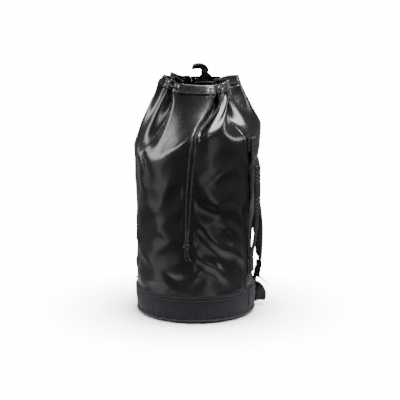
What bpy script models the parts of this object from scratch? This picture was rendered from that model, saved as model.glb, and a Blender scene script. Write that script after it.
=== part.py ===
"""A rope storage bag: a coated-fabric tube on a reinforced round base, gathered at the mouth by a drawcord.

Frame: metres, +Z up, the origin in the middle of the base's underside. The front, where the cord's ends
hang, faces -Y, and the shoulder straps are on the back, +Y. An azimuth is in degrees from the front,
-Y, towards +X. The tube's fabric is measured in the same way, so fabric azimuth 30 is the line of cloth
that stands at azimuth 30 below the shoulder, wherever the gathers carry it above.
"""

import math

import bmesh
import bpy
from mathutils import Matrix, Vector

# The tube and its base.
TUBE_RADIUS = 0.1478
WALL_THICKNESS = 0.0014
WALL_FOOT_Z = 0.0112
GAP = 0.0003
BAND_THICKNESS = 0.0016
BAND_TOP_Z = 0.0700
BASE_SEAM_RADIUS = 0.1455
BASE_FLAT_RADIUS = 0.1260
BASE_FABRIC = 0.0020
BASE_RISE = 0.0064
PIPING_RADIUS = 0.0019
STIFFENER_THICKNESS = 0.0030

# The hem round the mouth, its eyelets and the drawcord.
HEM_HEIGHT = 0.0240
HEM_THICKNESS = 0.0022
HEM_LIFT = 0.0010
HEM_LIFT_IN_FOLDS = 0.0040
HEM_LAP = 0.0034
EYELET_COUNT = 12
EYELET_DROP = 0.0120
EYELET_BORE_RADIUS = 0.0049
EYELET_FLANGE_RADIUS = 0.0072
EYELET_WALL = 0.0004
EYELET_METAL = 0.0008
EYELET_FLAT = 0.0098
CORD_DIAMETER = 0.0045
KNOT_RADIUS = 0.0078
KNOT_HEIGHT = 0.0200
KNOT_Z = 0.1965
KNOT_AZIMUTH = 4.2
TAIL_LENGTH = 0.0250

# Webbing, straps, handle and haul loop. A patch stands a little off the wall, whose facets are flat.
PATCH_LIFT = 0.0010
PATCH_THICKNESS = 0.0012
SEWN_LIFT = PATCH_LIFT + PATCH_THICKNESS + 2 * GAP
WEBBING_THICKNESS = 0.0016
STRAP_WEBBING_WIDTH = 0.0250
PAD_WIDTH = 0.0580
PAD_THICKNESS = 0.0080
STRAP_TOP_AZIMUTH = 165.0
STRAP_TOP_Z = 0.3910
YOKE_RISE = 0.0036
WING_AZIMUTH = 117.0
LOCK_WIDTH = 0.0340
LOCK_BAR = 0.0030
LOCK_PITCH = 0.0110
HANDLE_AZIMUTH = 80.0
HANDLE_WEBBING_WIDTH = 0.0250
HANDLE_TOP_Z = 0.4150
HANDLE_FOOT_Z = 0.1450
GRIP_LENGTH = 0.1260
GRIP_WIDTH = 0.0280
GRIP_THICKNESS = 0.0110
GRIP_MIDDLE_Z = 0.3170
GRIP_STAND_OFF = 0.0150
LOOP_WEBBING_WIDTH = 0.0180
LOOP_ROOT = (0.0070, 0.0680)
LOOP_FACING = 188.0
LOOP_ROOT_RISE = 0.0044
LOOP_ROOT_GAP = 0.0018

COLUMNS = 72

# Where the rim stands at each eyelet: fabric azimuth, x, y, height, and the azimuth that the hem faces.
EYELET_SEATS = (
    (-150, -0.0380, 0.0530, 0.579, -150),
    (-120, -0.0500, 0.0240, 0.583, -88),
    (-90, -0.0500, -0.0010, 0.583, -92),
    (-60, -0.0600, -0.0220, 0.583, -48),
    (-30, -0.0330, -0.0440, 0.576, -20),
    (0, 0.0460, -0.0430, 0.573, 14),
    (30, 0.0610, -0.0250, 0.574, 47),
    (60, 0.0570, 0.0065, 0.580, 99),
    (90, 0.0560, 0.0350, 0.581, 79),
    (120, 0.0740, 0.0715, 0.580, 178),
    (150, 0.0350, 0.0710, 0.577, 187),
    (180, -0.0130, 0.0635, 0.577, 195),
)

# The four tall corners of the rim, each a pleat between this eyelet and the next: x, y, z.
PLEAT_PEAKS = {
    -150: (-0.078, 0.037, 0.592),
    -90: (-0.078, -0.012, 0.592),
    30: (0.091, -0.004, 0.585),
    90: (0.104, 0.065, 0.587),
}

# The shoulder, where the upright wall turns in: fabric azimuth, azimuth, radius, height, and how far the
# middle of the slope above it is tucked in.
SHOULDER = (
    (-165, -165, 0.1475, 0.438, 0.006),
    (-135, -135, 0.1495, 0.446, 0.000),
    (-115, -115, 0.1560, 0.452, 0.004),
    (-96, -97, 0.1500, 0.437, 0.016),
    (-78, -79, 0.1545, 0.425, 0.000),
    (-55, -55, 0.1490, 0.416, 0.002),
    (-28, -26, 0.1480, 0.404, 0.008),
    (0, 2, 0.1470, 0.447, 0.004),
    (22, 20, 0.1450, 0.464, 0.000),
    (38, 31, 0.1450, 0.468, 0.000),
    (62, 58, 0.1480, 0.452, 0.014),
    (88, 86, 0.1520, 0.462, 0.018),
    (112, 112, 0.1660, 0.475, 0.000),
    (135, 134, 0.1510, 0.456, 0.002),
    (165, 165, 0.1475, 0.441, 0.006),
)

# Where the upright wall is pushed in: azimuth, height, half width in degrees, half height, depth.
DENTS = (
    (102, 0.165, 26, 0.070, 0.010),
    (100, 0.092, 14, 0.012, 0.006),
    (-20, 0.240, 40, 0.090, 0.003),
    (-110, 0.300, 30, 0.080, 0.004),
    (178, 0.250, 34, 0.100, 0.004),
)

MATERIALS = {
    "coated_fabric": ((0.012, 0.012, 0.013), 0.28, 0.0),
    "base_fabric": ((0.022, 0.023, 0.031), 0.75, 0.0),
    "webbing": ((0.010, 0.010, 0.011), 0.70, 0.0),
    "cord": ((0.014, 0.014, 0.015), 0.60, 0.0),
    "eyelet_metal": ((0.35, 0.35, 0.36), 0.25, 1.0),
    "moulded_plastic": ((0.011, 0.011, 0.012), 0.40, 0.0),
    "board": ((0.05, 0.05, 0.05), 0.50, 0.0),
}


def clear_scene():
    """Removes whatever the file opened with."""
    for item in list(bpy.data.objects):
        bpy.data.objects.remove(item)


def material(name):
    """The named finish, made once."""
    found = bpy.data.materials.get(name)
    if found:
        return found
    colour, roughness, metallic = MATERIALS[name]
    made = bpy.data.materials.new(name)
    made.use_nodes = True
    shader = made.node_tree.nodes["Principled BSDF"]
    shader.inputs["Base Color"].default_value = (*colour, 1.0)
    shader.inputs["Roughness"].default_value = roughness
    shader.inputs["Metallic"].default_value = metallic
    return made


def add_object(name, mesh, finish, smooth=40.0):
    """Puts a finished mesh in the scene as one named piece."""
    mesh.shade_smooth()
    mesh.set_sharp_from_angle(angle=math.radians(smooth))
    mesh.materials.append(material(finish))
    piece = bpy.data.objects.new(name, mesh)
    bpy.context.scene.collection.objects.link(piece)
    return piece


def mesh_from(name, build):
    """A mesh filled by build(bm), with its normals made to point outwards."""
    bm = bmesh.new()
    build(bm)
    bmesh.ops.recalc_face_normals(bm, faces=bm.faces)
    mesh = bpy.data.meshes.new(name)
    bm.to_mesh(mesh)
    bm.free()
    return mesh


def outward(azimuth):
    """The level direction that faces this azimuth."""
    turn = math.radians(azimuth)
    return Vector((math.sin(turn), -math.cos(turn), 0.0))


def along(azimuth):
    """The level direction of growing azimuth, square to outward()."""
    turn = math.radians(azimuth)
    return Vector((math.cos(turn), math.sin(turn), 0.0))


def smooth_step(value):
    """0 to 1 with level ends."""
    value = min(1.0, max(0.0, value))
    return value * value * (3.0 - 2.0 * value)


def hermite(start, end, leave, arrive, share):
    """The cubic from start to end with these end tangents."""
    a, b = share * share, share * share * share
    return (
        start * (2 * b - 3 * a + 1)
        + leave * (b - 2 * a + share)
        + end * (3 * a - 2 * b)
        + arrive * (b - a)
    )


# ---------------------------------------------------------------- the wall's surface


def around_table(table, azimuth):
    """A row of the closed table at this fabric azimuth, by cubic steps between its rows."""
    first = table[0][0]
    azimuth = (azimuth - first) % 360.0 + first
    count = len(table)
    index = max(i for i in range(count) if table[i][0] <= azimuth + 1e-9)

    def row(i):
        turns, place = divmod(i, count)
        values = table[place]
        return (values[0] + 360.0 * turns, *values[1:])

    before, here, there, after = (row(index + step) for step in (-1, 0, 1, 2))
    span = there[0] - here[0]
    share = (azimuth - here[0]) / span
    result = []
    for column in range(1, len(here)):
        wrap = 360.0 if column == 1 else 0.0
        lap = [wrap * ((index + step) // count) for step in (-1, 0, 1, 2)]
        values = [r[column] + more for r, more in zip((before, here, there, after), lap)]
        leave = (values[2] - values[0]) / (there[0] - before[0]) * span
        arrive = (values[3] - values[1]) / (after[0] - here[0]) * span
        result.append(hermite(values[1], values[2], leave, arrive, share))
    return result


def seat_frame(index):
    """One eyelet's seat on the rim: its point, the rim's run, up the slope, and out through the hem."""
    azimuth, x, y, height, facing = EYELET_SEATS[index % EYELET_COUNT]
    point = Vector((x, y, height))
    run = along(facing)
    slope = point - shoulder_point(azimuth)
    up = (slope - run * slope.dot(run)).normalized()
    return point, run, up, run.cross(up)


def rim_place(azimuth):
    """The rim's edge at this fabric azimuth, and the direction up the slope to it."""
    pitch = 360.0 / EYELET_COUNT
    flat = pitch / 6.0
    place = ((azimuth - EYELET_SEATS[0][0]) % 360.0) / pitch
    index = int(place + 1e-9)
    offset = (place - index) * pitch
    here, run, up, _ = seat_frame(index)
    there, next_run, next_up, _ = seat_frame(index + 1)
    if offset <= flat + 1e-9:
        return here + run * (EYELET_FLAT * offset / flat), up
    if offset >= pitch - flat - 1e-9:
        return there - next_run * (EYELET_FLAT * (pitch - offset) / flat), next_up
    share = (offset - flat) / (pitch - 2.0 * flat)
    start, end = here + run * EYELET_FLAT, there - next_run * EYELET_FLAT
    peak = PLEAT_PEAKS.get(EYELET_SEATS[index % EYELET_COUNT][0])
    if peak is None:
        reach = (end - start).length
        point = hermite(start, end, run * reach, next_run * reach, share)
        return point, (up * (1.0 - share) + next_up * share).normalized()
    peak = Vector(peak)
    crest = (peak - shoulder_point(azimuth)).normalized()
    across = (end - start).normalized() * 0.026
    if share <= 0.5:
        leave = run * 0.008 + (peak - start) * 0.7
        point = hermite(start, peak, leave, across, share * 2.0)
        return point, (up * (1.0 - share * 2.0) + crest * share * 2.0).normalized()
    arrive = next_run * 0.008 + (end - peak) * 0.7
    point = hermite(peak, end, across, arrive, share * 2.0 - 1.0)
    return point, (crest * (2.0 - share * 2.0) + next_up * (share * 2.0 - 1.0)).normalized()


def shoulder_point(azimuth):
    """Where the wall at this fabric azimuth turns in."""
    turn, radius, height, _ = around_table(SHOULDER, azimuth)
    return outward(turn) * radius + Vector((0.0, 0.0, height))


def tube_radius(height):
    """The upright wall's outer radius: full above the band, drawn in a little to the base seam."""
    foot_radius = BASE_SEAM_RADIUS - BAND_THICKNESS - GAP
    rise = smooth_step((height - WALL_FOOT_Z) / 0.040)
    return foot_radius + (TUBE_RADIUS - foot_radius) * rise ** 0.7


def dent_depth(azimuth, height):
    """How far the dents push the wall in here."""
    depth = 0.0
    for middle, level, half_width, half_height, deepest in DENTS:
        turn = ((azimuth - middle + 180.0) % 360.0 - 180.0) / half_width
        rise = (height - level) / half_height
        depth += deepest * math.exp(-turn * turn - rise * rise)
    return depth


def wall_point(azimuth, station):
    """A point of the wall's outer face: station 0 is its foot, 1 the shoulder, 2 the hem and 3 the rim."""
    turn, radius, height, tuck = around_table(SHOULDER, azimuth)
    if station <= 1.0:
        level = WALL_FOOT_Z + (height - WALL_FOOT_Z) * station
        blend = smooth_step((station - 0.55) / 0.45)
        wall = tube_radius(level) - dent_depth(azimuth, level) * (1.0 - blend)
        wall += (radius - wall) * blend
        drift = (turn - azimuth + 180.0) % 360.0 - 180.0
        return outward(azimuth + drift * blend) * wall + Vector((0.0, 0.0, level))
    rim, up = rim_place(azimuth)
    if station >= 2.0:
        return rim - up * (HEM_HEIGHT * (3.0 - station))
    share = station - 1.0
    shoulder = shoulder_point(azimuth)
    hem = rim - up * HEM_HEIGHT
    reach = (hem - shoulder).length
    leave = (hem - shoulder).normalized() + Vector((0.0, 0.0, 0.45))
    slope = hermite(shoulder, hem, leave * reach * 0.75, up * reach, share)
    return slope - outward(azimuth) * (tuck * 4.0 * share * (1.0 - share))


def station_at(azimuth, height):
    """The station of the upright wall at this height."""
    top = around_table(SHOULDER, azimuth)[2]
    return (height - WALL_FOOT_Z) / (top - WALL_FOOT_Z)


def wall_normal(azimuth, station):
    """The wall's outward direction."""
    side = wall_point(azimuth + 2.5, station) - wall_point(azimuth - 2.5, station)
    low, high = max(0.0, station - 0.01), min(3.0, station + 0.01)
    rise = wall_point(azimuth, high) - wall_point(azimuth, low)
    return side.cross(rise).normalized()


def on_wall(azimuth, station, lift):
    """A point held off the wall's outer face."""
    return wall_point(azimuth, station) + wall_normal(azimuth, station) * lift


def off_wall(azimuth, height, lift):
    """A point held off the upright wall at this height."""
    return on_wall(azimuth, station_at(azimuth, height), lift)


# ---------------------------------------------------------------- general shapes


def sheet_solid(name, rows, thickness, finish, closed=True):
    """A sheet through rows of points, made solid outwards from them."""

    def build(bm):
        grid = [[bm.verts.new(point) for point in row] for row in rows]
        columns = len(rows[0])
        for lower, upper in zip(grid, grid[1:]):
            for i in range(columns if closed else columns - 1):
                j = (i + 1) % columns
                bm.faces.new((lower[i], lower[j], upper[j], upper[i]))

    bm = bmesh.new()
    build(bm)
    mesh = bpy.data.meshes.new(name)
    bm.to_mesh(mesh)
    bm.free()
    piece = add_object(name, mesh, finish)
    shell = piece.modifiers.new("Thickness", "SOLIDIFY")
    shell.thickness = abs(thickness)
    shell.offset = 1.0 if thickness > 0 else -1.0
    shell.use_even_offset = False
    return piece


def turned(name, profile, segments, finish, place=None):
    """A closed outline of (radius, height) points turned round Z, then set in place."""

    def build(bm):
        rings = []
        for step in range(segments):
            turn = 2.0 * math.pi * step / segments
            rings.append([bm.verts.new((r * math.cos(turn), r * math.sin(turn), z)) for r, z in profile])
        for ring, following in zip(rings, rings[1:] + rings[:1]):
            for i in range(len(profile)):
                j = (i + 1) % len(profile)
                bm.faces.new((ring[i], following[i], following[j], ring[j]))

    mesh = mesh_from(name, build)
    piece = add_object(name, mesh, finish)
    if place is not None:
        piece.matrix_world = place
    return piece


def turned_plate(name, profile, segments, finish):
    """A solid disc: the profile runs from its lower to its upper middle, and both middles are closed."""

    def build(bm):
        rings = []
        for radius, height in profile:
            rings.append(
                [
                    bm.verts.new(outward(360.0 * step / segments) * radius + Vector((0, 0, height)))
                    for step in range(segments)
                ]
            )
        for ring, following in zip(rings, rings[1:]):
            for i in range(segments):
                j = (i + 1) % segments
                bm.faces.new((ring[i], ring[j], following[j], following[i]))
        bm.faces.new(list(reversed(rings[0])))
        bm.faces.new(rings[-1])

    return add_object(name, mesh_from(name, build), finish)


def ribbon(name, stations, thickness, finish, closed=False):
    """A flat band through stations of (middle, side direction, width), square to its path."""
    count = len(stations)

    def build(bm):
        loops = []
        for i, (middle, side, width) in enumerate(stations):
            before = stations[(i - 1) % count if closed else max(0, i - 1)][0]
            after = stations[(i + 1) % count if closed else min(count - 1, i + 1)][0]
            side = side.normalized()
            face = side.cross(after - before).normalized()
            corners = ((-1, -1), (1, -1), (1, 1), (-1, 1))
            loops.append(
                [
                    bm.verts.new(middle + side * (width / 2 * a) + face * (thickness / 2 * b))
                    for a, b in corners
                ]
            )
        pairs = list(zip(loops, loops[1:]))
        if closed:
            pairs.append((loops[-1], loops[0]))
        for here, there in pairs:
            for i in range(4):
                j = (i + 1) % 4
                bm.faces.new((here[i], here[j], there[j], there[i]))
        if not closed:
            bm.faces.new(list(reversed(loops[0])))
            bm.faces.new(loops[-1])

    return add_object(name, mesh_from(name, build), finish)


def smooth_route(points, spacing):
    """Points at about this spacing along the smooth curve through a route's own points."""
    route = [Vector(p) for p in points]
    result = [route[0]]
    for i in range(len(route) - 1):
        before, after = route[max(0, i - 1)], route[min(len(route) - 1, i + 2)]
        leave, arrive = (route[i + 1] - before) / 2, (after - route[i]) / 2
        steps = max(1, round((route[i + 1] - route[i]).length / spacing))
        for step in range(1, steps + 1):
            result.append(hermite(route[i], route[i + 1], leave, arrive, step / steps))
    return result


def cord(name, points, diameter, finish="cord"):
    """A round cord along the points, with its ends filled."""
    curve = bpy.data.curves.new(name, "CURVE")
    curve.dimensions = "3D"
    curve.bevel_depth = diameter / 2
    curve.bevel_resolution = 2
    curve.use_fill_caps = True
    spline = curve.splines.new("POLY")
    spline.points.add(len(points) - 1)
    for target, point in zip(spline.points, points):
        target.co = (*point, 1.0)
    curve.materials.append(material(finish))
    piece = bpy.data.objects.new(name, curve)
    bpy.context.scene.collection.objects.link(piece)
    return piece


def spread(first, last, count):
    """Evenly spaced values, both ends included."""
    return [first + (last - first) * i / (count - 1) for i in range(count)]


def rounded_bar(name, sections, finish, corner=0.3):
    """A soft bar lofted through (middle, side direction, face direction, width, thickness)."""

    def build(bm):
        rings = []
        for middle, side, face, width, thickness in sections:
            w, t = width / 2, thickness / 2
            inner_w, inner_t = w - min(w, t) * corner * 2, t * (1.0 - corner * 1.6)
            mid_w = inner_w * 0.55
            outline = (
                (-w, -inner_t), (-inner_w, -t), (inner_w, -t), (w, -inner_t),
                (w, inner_t), (inner_w, t), (mid_w, t), (-mid_w, t), (-inner_w, t), (-w, inner_t),
            )
            rings.append([bm.verts.new(middle + side * a + face * b) for a, b in outline])
        for here, there in zip(rings, rings[1:]):
            for i in range(len(here)):
                j = (i + 1) % len(here)
                bm.faces.new((here[i], here[j], there[j], there[i]))
        bm.faces.new(list(reversed(rings[0])))
        bm.faces.new(rings[-1])

    return add_object(name, mesh_from(name, build), finish)


def cut(piece, cutter):
    """Takes the cutter's shape out of a piece."""
    change = piece.modifiers.new("Cut", "BOOLEAN")
    change.operation = "DIFFERENCE"
    change.solver = "EXACT"
    change.object = cutter
    cutter.hide_render = True
    cutter.display_type = "WIRE"


def pivot(name, point, axis, pieces):
    """An empty on a joint's axis, its Z along the axis, that carries the pieces which turn about it."""
    empty = bpy.data.objects.new(name, None)
    empty.empty_display_size = 0.02
    bpy.context.scene.collection.objects.link(empty)
    turn = axis.to_track_quat("Z", "Y").to_matrix().to_4x4()
    matrix = Matrix.Translation(point) @ turn
    empty.matrix_world = matrix
    for piece in pieces:
        piece.parent = empty
        piece.matrix_parent_inverse = matrix.inverted()


def frame_matrix(point, x_axis, y_axis, z_axis):
    """The matrix that sets a piece at a point with these axes."""
    matrix = Matrix((x_axis, y_axis, z_axis)).transposed().to_4x4()
    matrix.translation = point
    return matrix


# ---------------------------------------------------------------- the tube and its base


def column_azimuths():
    """The azimuths of the wall's columns."""
    return [360.0 * step / COLUMNS - 180.0 for step in range(COLUMNS)]


def in_fold(azimuth):
    """Whether this line of the fabric is between two eyelets' flats."""
    pitch = 360.0 / EYELET_COUNT
    return abs((azimuth + pitch / 2.0) % pitch - pitch / 2.0) > pitch / 6.0 + 1e-6


def wall_rows(stations):
    """Closed rows of points along the wall, drawn in a little in the folds under the hem."""
    rows = []
    for station in stations:
        sink = -0.0003 if station > 1.95 else 0.0
        rows.append([on_wall(a, station, sink if in_fold(a) else 0.0) for a in column_azimuths()])
    return rows


def level_rows(heights, lift):
    """Closed rows of points at these heights of the upright wall."""
    return [[off_wall(a, z, lift) for a in column_azimuths()] for z in heights]


def build_tube():
    """The coated-fabric tube, from its foot in the base seam to the lap under the hem."""
    heights = [WALL_FOOT_Z, 0.028, 0.049, BAND_TOP_Z, 0.092, 0.130, 0.170, 0.220, 0.300, 0.360]
    rows = level_rows(heights, 0.0)
    lap = 2.0 + HEM_LAP / HEM_HEIGHT
    stations = [0.90, 1.0, 1.10, 1.28, 1.50, 1.72, 1.88, 2.0, lap]
    rows += wall_rows(stations)
    sheet_solid("body_shell", rows, -WALL_THICKNESS, "coated_fabric")


def build_hem():
    """The doubled hem round the mouth, with a hole for each eyelet."""
    rows = []
    for station in (2.0, 2.0 + HEM_LAP / HEM_HEIGHT, 2.5, 3.0):
        row = []
        for azimuth in column_azimuths():
            lift = HEM_LIFT_IN_FOLDS if in_fold(azimuth) else HEM_LIFT
            row.append(on_wall(azimuth, station, lift))
        rows.append(row)
    hem = sheet_solid("mouth_hem", rows, HEM_THICKNESS, "coated_fabric")
    bm = bmesh.new()
    for index in range(EYELET_COUNT):
        matrix = eyelet_matrix(index)
        bmesh.ops.create_cone(
            bm,
            cap_ends=True,
            segments=12,
            radius1=EYELET_BORE_RADIUS + EYELET_WALL + 0.00045,
            radius2=EYELET_BORE_RADIUS + EYELET_WALL + 0.00045,
            depth=0.012,
            matrix=matrix,
        )
    mesh = bpy.data.meshes.new("hem_holes")
    bm.to_mesh(mesh)
    bm.free()
    cutter = bpy.data.objects.new("hem_holes", mesh)
    bpy.context.scene.collection.objects.link(cutter)
    cut(hem, cutter)


def eyelet_matrix(index):
    """An eyelet's frame: X along the rim, Y up the slope, Z out, in the middle of the hem's thickness."""
    point, run, up, out = seat_frame(index)
    middle = point - up * EYELET_DROP + out * (HEM_LIFT + HEM_THICKNESS / 2)
    return frame_matrix(middle, run, up, out)


def build_eyelets():
    """Each eyelet: a flanged barrel from outside and a washer round its end inside."""
    bore, wall, metal = EYELET_BORE_RADIUS, EYELET_WALL, EYELET_METAL
    face = HEM_THICKNESS / 2 + GAP
    for index in range(EYELET_COUNT):
        matrix = eyelet_matrix(index)
        barrel = [
            (bore, -face - metal), (bore + wall, -face - metal), (bore + wall, face),
            (EYELET_FLANGE_RADIUS, face), (EYELET_FLANGE_RADIUS - 0.0003, face + metal), (bore, face + metal),
        ]
        washer = [
            (bore + wall + GAP, -face - metal), (EYELET_FLANGE_RADIUS - 0.0003, -face - metal),
            (EYELET_FLANGE_RADIUS, -face), (bore + wall + GAP, -face),
        ]
        turned(f"eyelet_{index + 1:02d}", barrel, 12, "eyelet_metal", matrix)
        turned(f"eyelet_washer_{index + 1:02d}", washer, 12, "eyelet_metal", matrix)


def build_base():
    """The woven band, the piped seam, the round bottom and the board that stiffens it."""
    heights = [WALL_FOOT_Z, 0.028, 0.049, BAND_TOP_Z]
    sheet_solid("base_band", level_rows(heights, GAP + 0.0001), BAND_THICKNESS, "base_fabric")
    seam_z = BASE_RISE + GAP + PIPING_RADIUS
    piping = [
        (
            BASE_SEAM_RADIUS + PIPING_RADIUS * math.cos(turn),
            seam_z + PIPING_RADIUS * math.sin(turn),
        )
        for turn in (2.0 * math.pi * step / 6 for step in range(6))
    ]
    turned("base_piping", piping, 48, "base_fabric")
    rim = BASE_SEAM_RADIUS
    disc = [
        (BASE_FLAT_RADIUS * 0.4, 0.0),
        (BASE_FLAT_RADIUS, 0.0),
        (rim - 0.0085, 0.0012),
        (rim - 0.0030, 0.0034),
        (rim - 0.0005, BASE_RISE),
        (rim - 0.0025, BASE_RISE),
        (rim - 0.0050, 0.0046),
        (rim - 0.0095, 0.0031),
        (BASE_FLAT_RADIUS, BASE_FABRIC),
        (BASE_FLAT_RADIUS * 0.4, BASE_FABRIC),
    ]
    turned_plate("base_disc", disc, 36, "base_fabric")
    low = BASE_FABRIC + GAP
    edge = BASE_FLAT_RADIUS - 0.0005
    high = low + STIFFENER_THICKNESS
    board = [(edge * 0.4, low), (edge, low), (edge, high), (edge * 0.4, high)]
    turned_plate("base_stiffener", board, 36, "board")


# ---------------------------------------------------------------- the drawcord


def eyelet_local(index, run, up, out):
    """A point given in an eyelet's own frame."""
    return eyelet_matrix(index % EYELET_COUNT) @ Vector((run, up, out))


def build_drawcord():
    """One cord in and out through the hem, its two ends down the front, knotted together."""
    steep, level = (0.0032, 0.0043), (0.0085, 0.0071)
    first = next(i for i in range(EYELET_COUNT) if EYELET_SEATS[i][0] == 0)
    last = next(i for i in range(EYELET_COUNT) if EYELET_SEATS[i][0] == 30)
    route = [eyelet_local(last, 0.0, 0.0, -0.0002), eyelet_local(last, 0.0, 0.0, -0.0016)]
    for step in range(EYELET_COUNT - 1):
        here, side = last + step, -1.0 if step % 2 == 0 else 1.0
        route.append(eyelet_local(here, steep[0], 0.0, steep[1] * side))
        off = level[1] * side if side < 0 else level[1] + 0.0012
        route.append(eyelet_local(here, level[0], 0.0, off))
        route.append(eyelet_local(here + 1, -level[0], 0.0, off))
        route.append(eyelet_local(here + 1, -steep[0], 0.0, steep[1] * side))
        if step < EYELET_COUNT - 2:
            route.append(eyelet_local(here + 1, 0.0, 0.0, 0.0))
    route.append(eyelet_local(first, 0.0, 0.0, -0.0016))
    route.append(eyelet_local(first, 0.0, 0.0, -0.0002))
    cord("drawcord_rim", smooth_route(route, 0.0042), CORD_DIAMETER)

    knot = outward(KNOT_AZIMUTH) * (TUBE_RADIUS + KNOT_RADIUS + 0.0012) + Vector((0, 0, KNOT_Z))
    lift = CORD_DIAMETER / 2 + 0.0010
    # Each end's route: over the slope (fabric azimuth, station, lift), down the wall (azimuth, height, lift).
    slopes = {
        "left": ((1, 1.86, 0.0062), (2, 1.72, lift), (4, 1.5, lift), (6.5, 1.25, lift), (8, 1.04, lift + 0.0012)),
        "right": (
            (27, 1.86, 0.0062), (24, 1.72, lift), (18, 1.5, lift), (14, 1.25, lift), (12, 1.04, lift + 0.0014)
        ),
    }
    drops = {
        "left": (
            (7.2, 0.444, lift + 0.0008), (5.6, 0.425, lift), (4.0, 0.36, lift), (3.4, 0.30, lift), (3.2, 0.25, lift)
        ),
        "right": (
            (11.6, 0.446, lift + 0.0010), (10.4, 0.425, lift), (8.2, 0.36, lift), (6.8, 0.30, lift),
            (5.6, 0.25, lift),
        ),
    }
    top = knot + Vector((0, 0, KNOT_HEIGHT / 2 + GAP))
    foot = knot - Vector((0, 0, KNOT_HEIGHT / 2 + GAP))
    for name, index, offset in (("left", first, -0.0026), ("right", last, 0.0026)):
        route = [
            eyelet_local(index, 0.0, 0.0, 0.0002),
            eyelet_local(index, 0.0, 0.0, 0.0016),
            eyelet_local(index, 0.0, -0.0030, 0.0044),
            eyelet_local(index, 0.0, -0.0085, 0.0068),
        ]
        route += [on_wall(*place) for place in slopes[name]]
        route += [off_wall(*place) for place in drops[name]]
        side = along(KNOT_AZIMUTH) * offset
        route += [top + side + Vector((0, 0, 0.014)), top + side]
        cord(f"drawcord_end_{name}", smooth_route(route, 0.0095), CORD_DIAMETER)
        tail = [
            foot + side,
            foot + side * 1.3 - Vector((0, 0, TAIL_LENGTH * 0.45)),
            foot + side * 2.0 + along(KNOT_AZIMUTH) * 0.004 - Vector((0, 0, TAIL_LENGTH)),
        ]
        cord(f"drawcord_tail_{name}", smooth_route(tail, 0.0080), CORD_DIAMETER)
    half = KNOT_HEIGHT / 2
    profile = [(0.0030, -half), (0.0062, -half * 0.86), (KNOT_RADIUS, -half * 0.42)]
    profile.append((KNOT_RADIUS * 0.90, 0.0))
    profile += [(r, -z) for r, z in reversed(profile[:3])]
    body = turned_plate("drawcord_knot", profile, 12, "cord")
    body.matrix_world = Matrix.Translation(knot)


# ---------------------------------------------------------------- webbing, handle and haul loop


def build_haul_loop():
    """The webbing loop that stands at the back of the rim, and the stub it is sewn to."""
    root = Vector((*LOOP_ROOT, 0.0))
    azimuth = min(
        (a / 4.0 for a in range(600, 720)), key=lambda a: abs(wall_point(a, 3.0).x - root.x)
    )
    rim = wall_point(azimuth, 3.0)
    _, up = rim_place(azimuth)
    run = along(LOOP_FACING)
    out = run.cross(up).normalized()
    face = HEM_LIFT_IN_FOLDS + HEM_THICKNESS + 0.0006
    thick = WEBBING_THICKNESS * 2 + GAP
    rows = []
    for drop in (HEM_HEIGHT - 0.002, 0.012, 0.001, -LOOP_ROOT_RISE + LOOP_ROOT_GAP):
        rows.append(
            [rim - up * drop + out * face + run * share for share in spread(-0.0088, 0.0088, 3)]
        )
    sheet_solid("haul_loop_stub", rows, thick, "webbing", closed=False)
    start = rim + up * LOOP_ROOT_RISE + out * (face + thick / 2)
    spine = [
        start,
        start + up * 0.0050,
        start + up * 0.0075 + Vector((0.0006, 0.0016, 0.0040)),
        start + Vector((-0.0030, -0.0030, 0.0165)),
        start + Vector((-0.0120, -0.0080, 0.0205)),
        start + Vector((-0.0260, -0.0165, 0.0185)),
    ]
    twist = (0.0, 0.0, 10.0, 26.0, 46.0, 52.0)
    root_gap = thick / 2 - WEBBING_THICKNESS / 2 + 0.0001
    open_by = (root_gap, root_gap + 0.0003, 0.0026, 0.0050, 0.0068, 0.0036)
    line = smooth_route(spine, 0.0042)
    count = len(line)
    legs = ([], [])
    apex = None
    for i, middle in enumerate(line):
        share = i / (count - 1) * (len(spine) - 1)
        place = min(int(share), len(spine) - 2)
        part = share - place
        angle = math.radians(twist[place] + (twist[place + 1] - twist[place]) * part)
        gap = open_by[place] + (open_by[place + 1] - open_by[place]) * part
        path = (line[min(i + 1, count - 1)] - line[max(i - 1, 0)]).normalized()
        side = Matrix.Rotation(-angle, 3, "Z") @ run
        side = (side - path * side.dot(path)).normalized()
        normal = side.cross(path)
        legs[0].append((middle + normal * gap, side, LOOP_WEBBING_WIDTH))
        legs[1].append((middle - normal * gap, side, LOOP_WEBBING_WIDTH))
        apex = (middle + path * 0.0034, side, LOOP_WEBBING_WIDTH)
    stations = legs[0] + [apex] + list(reversed(legs[1]))
    loop = ribbon("haul_loop", stations, WEBBING_THICKNESS, "webbing")
    pivot("haul_loop_axis", start, run, [loop])


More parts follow.
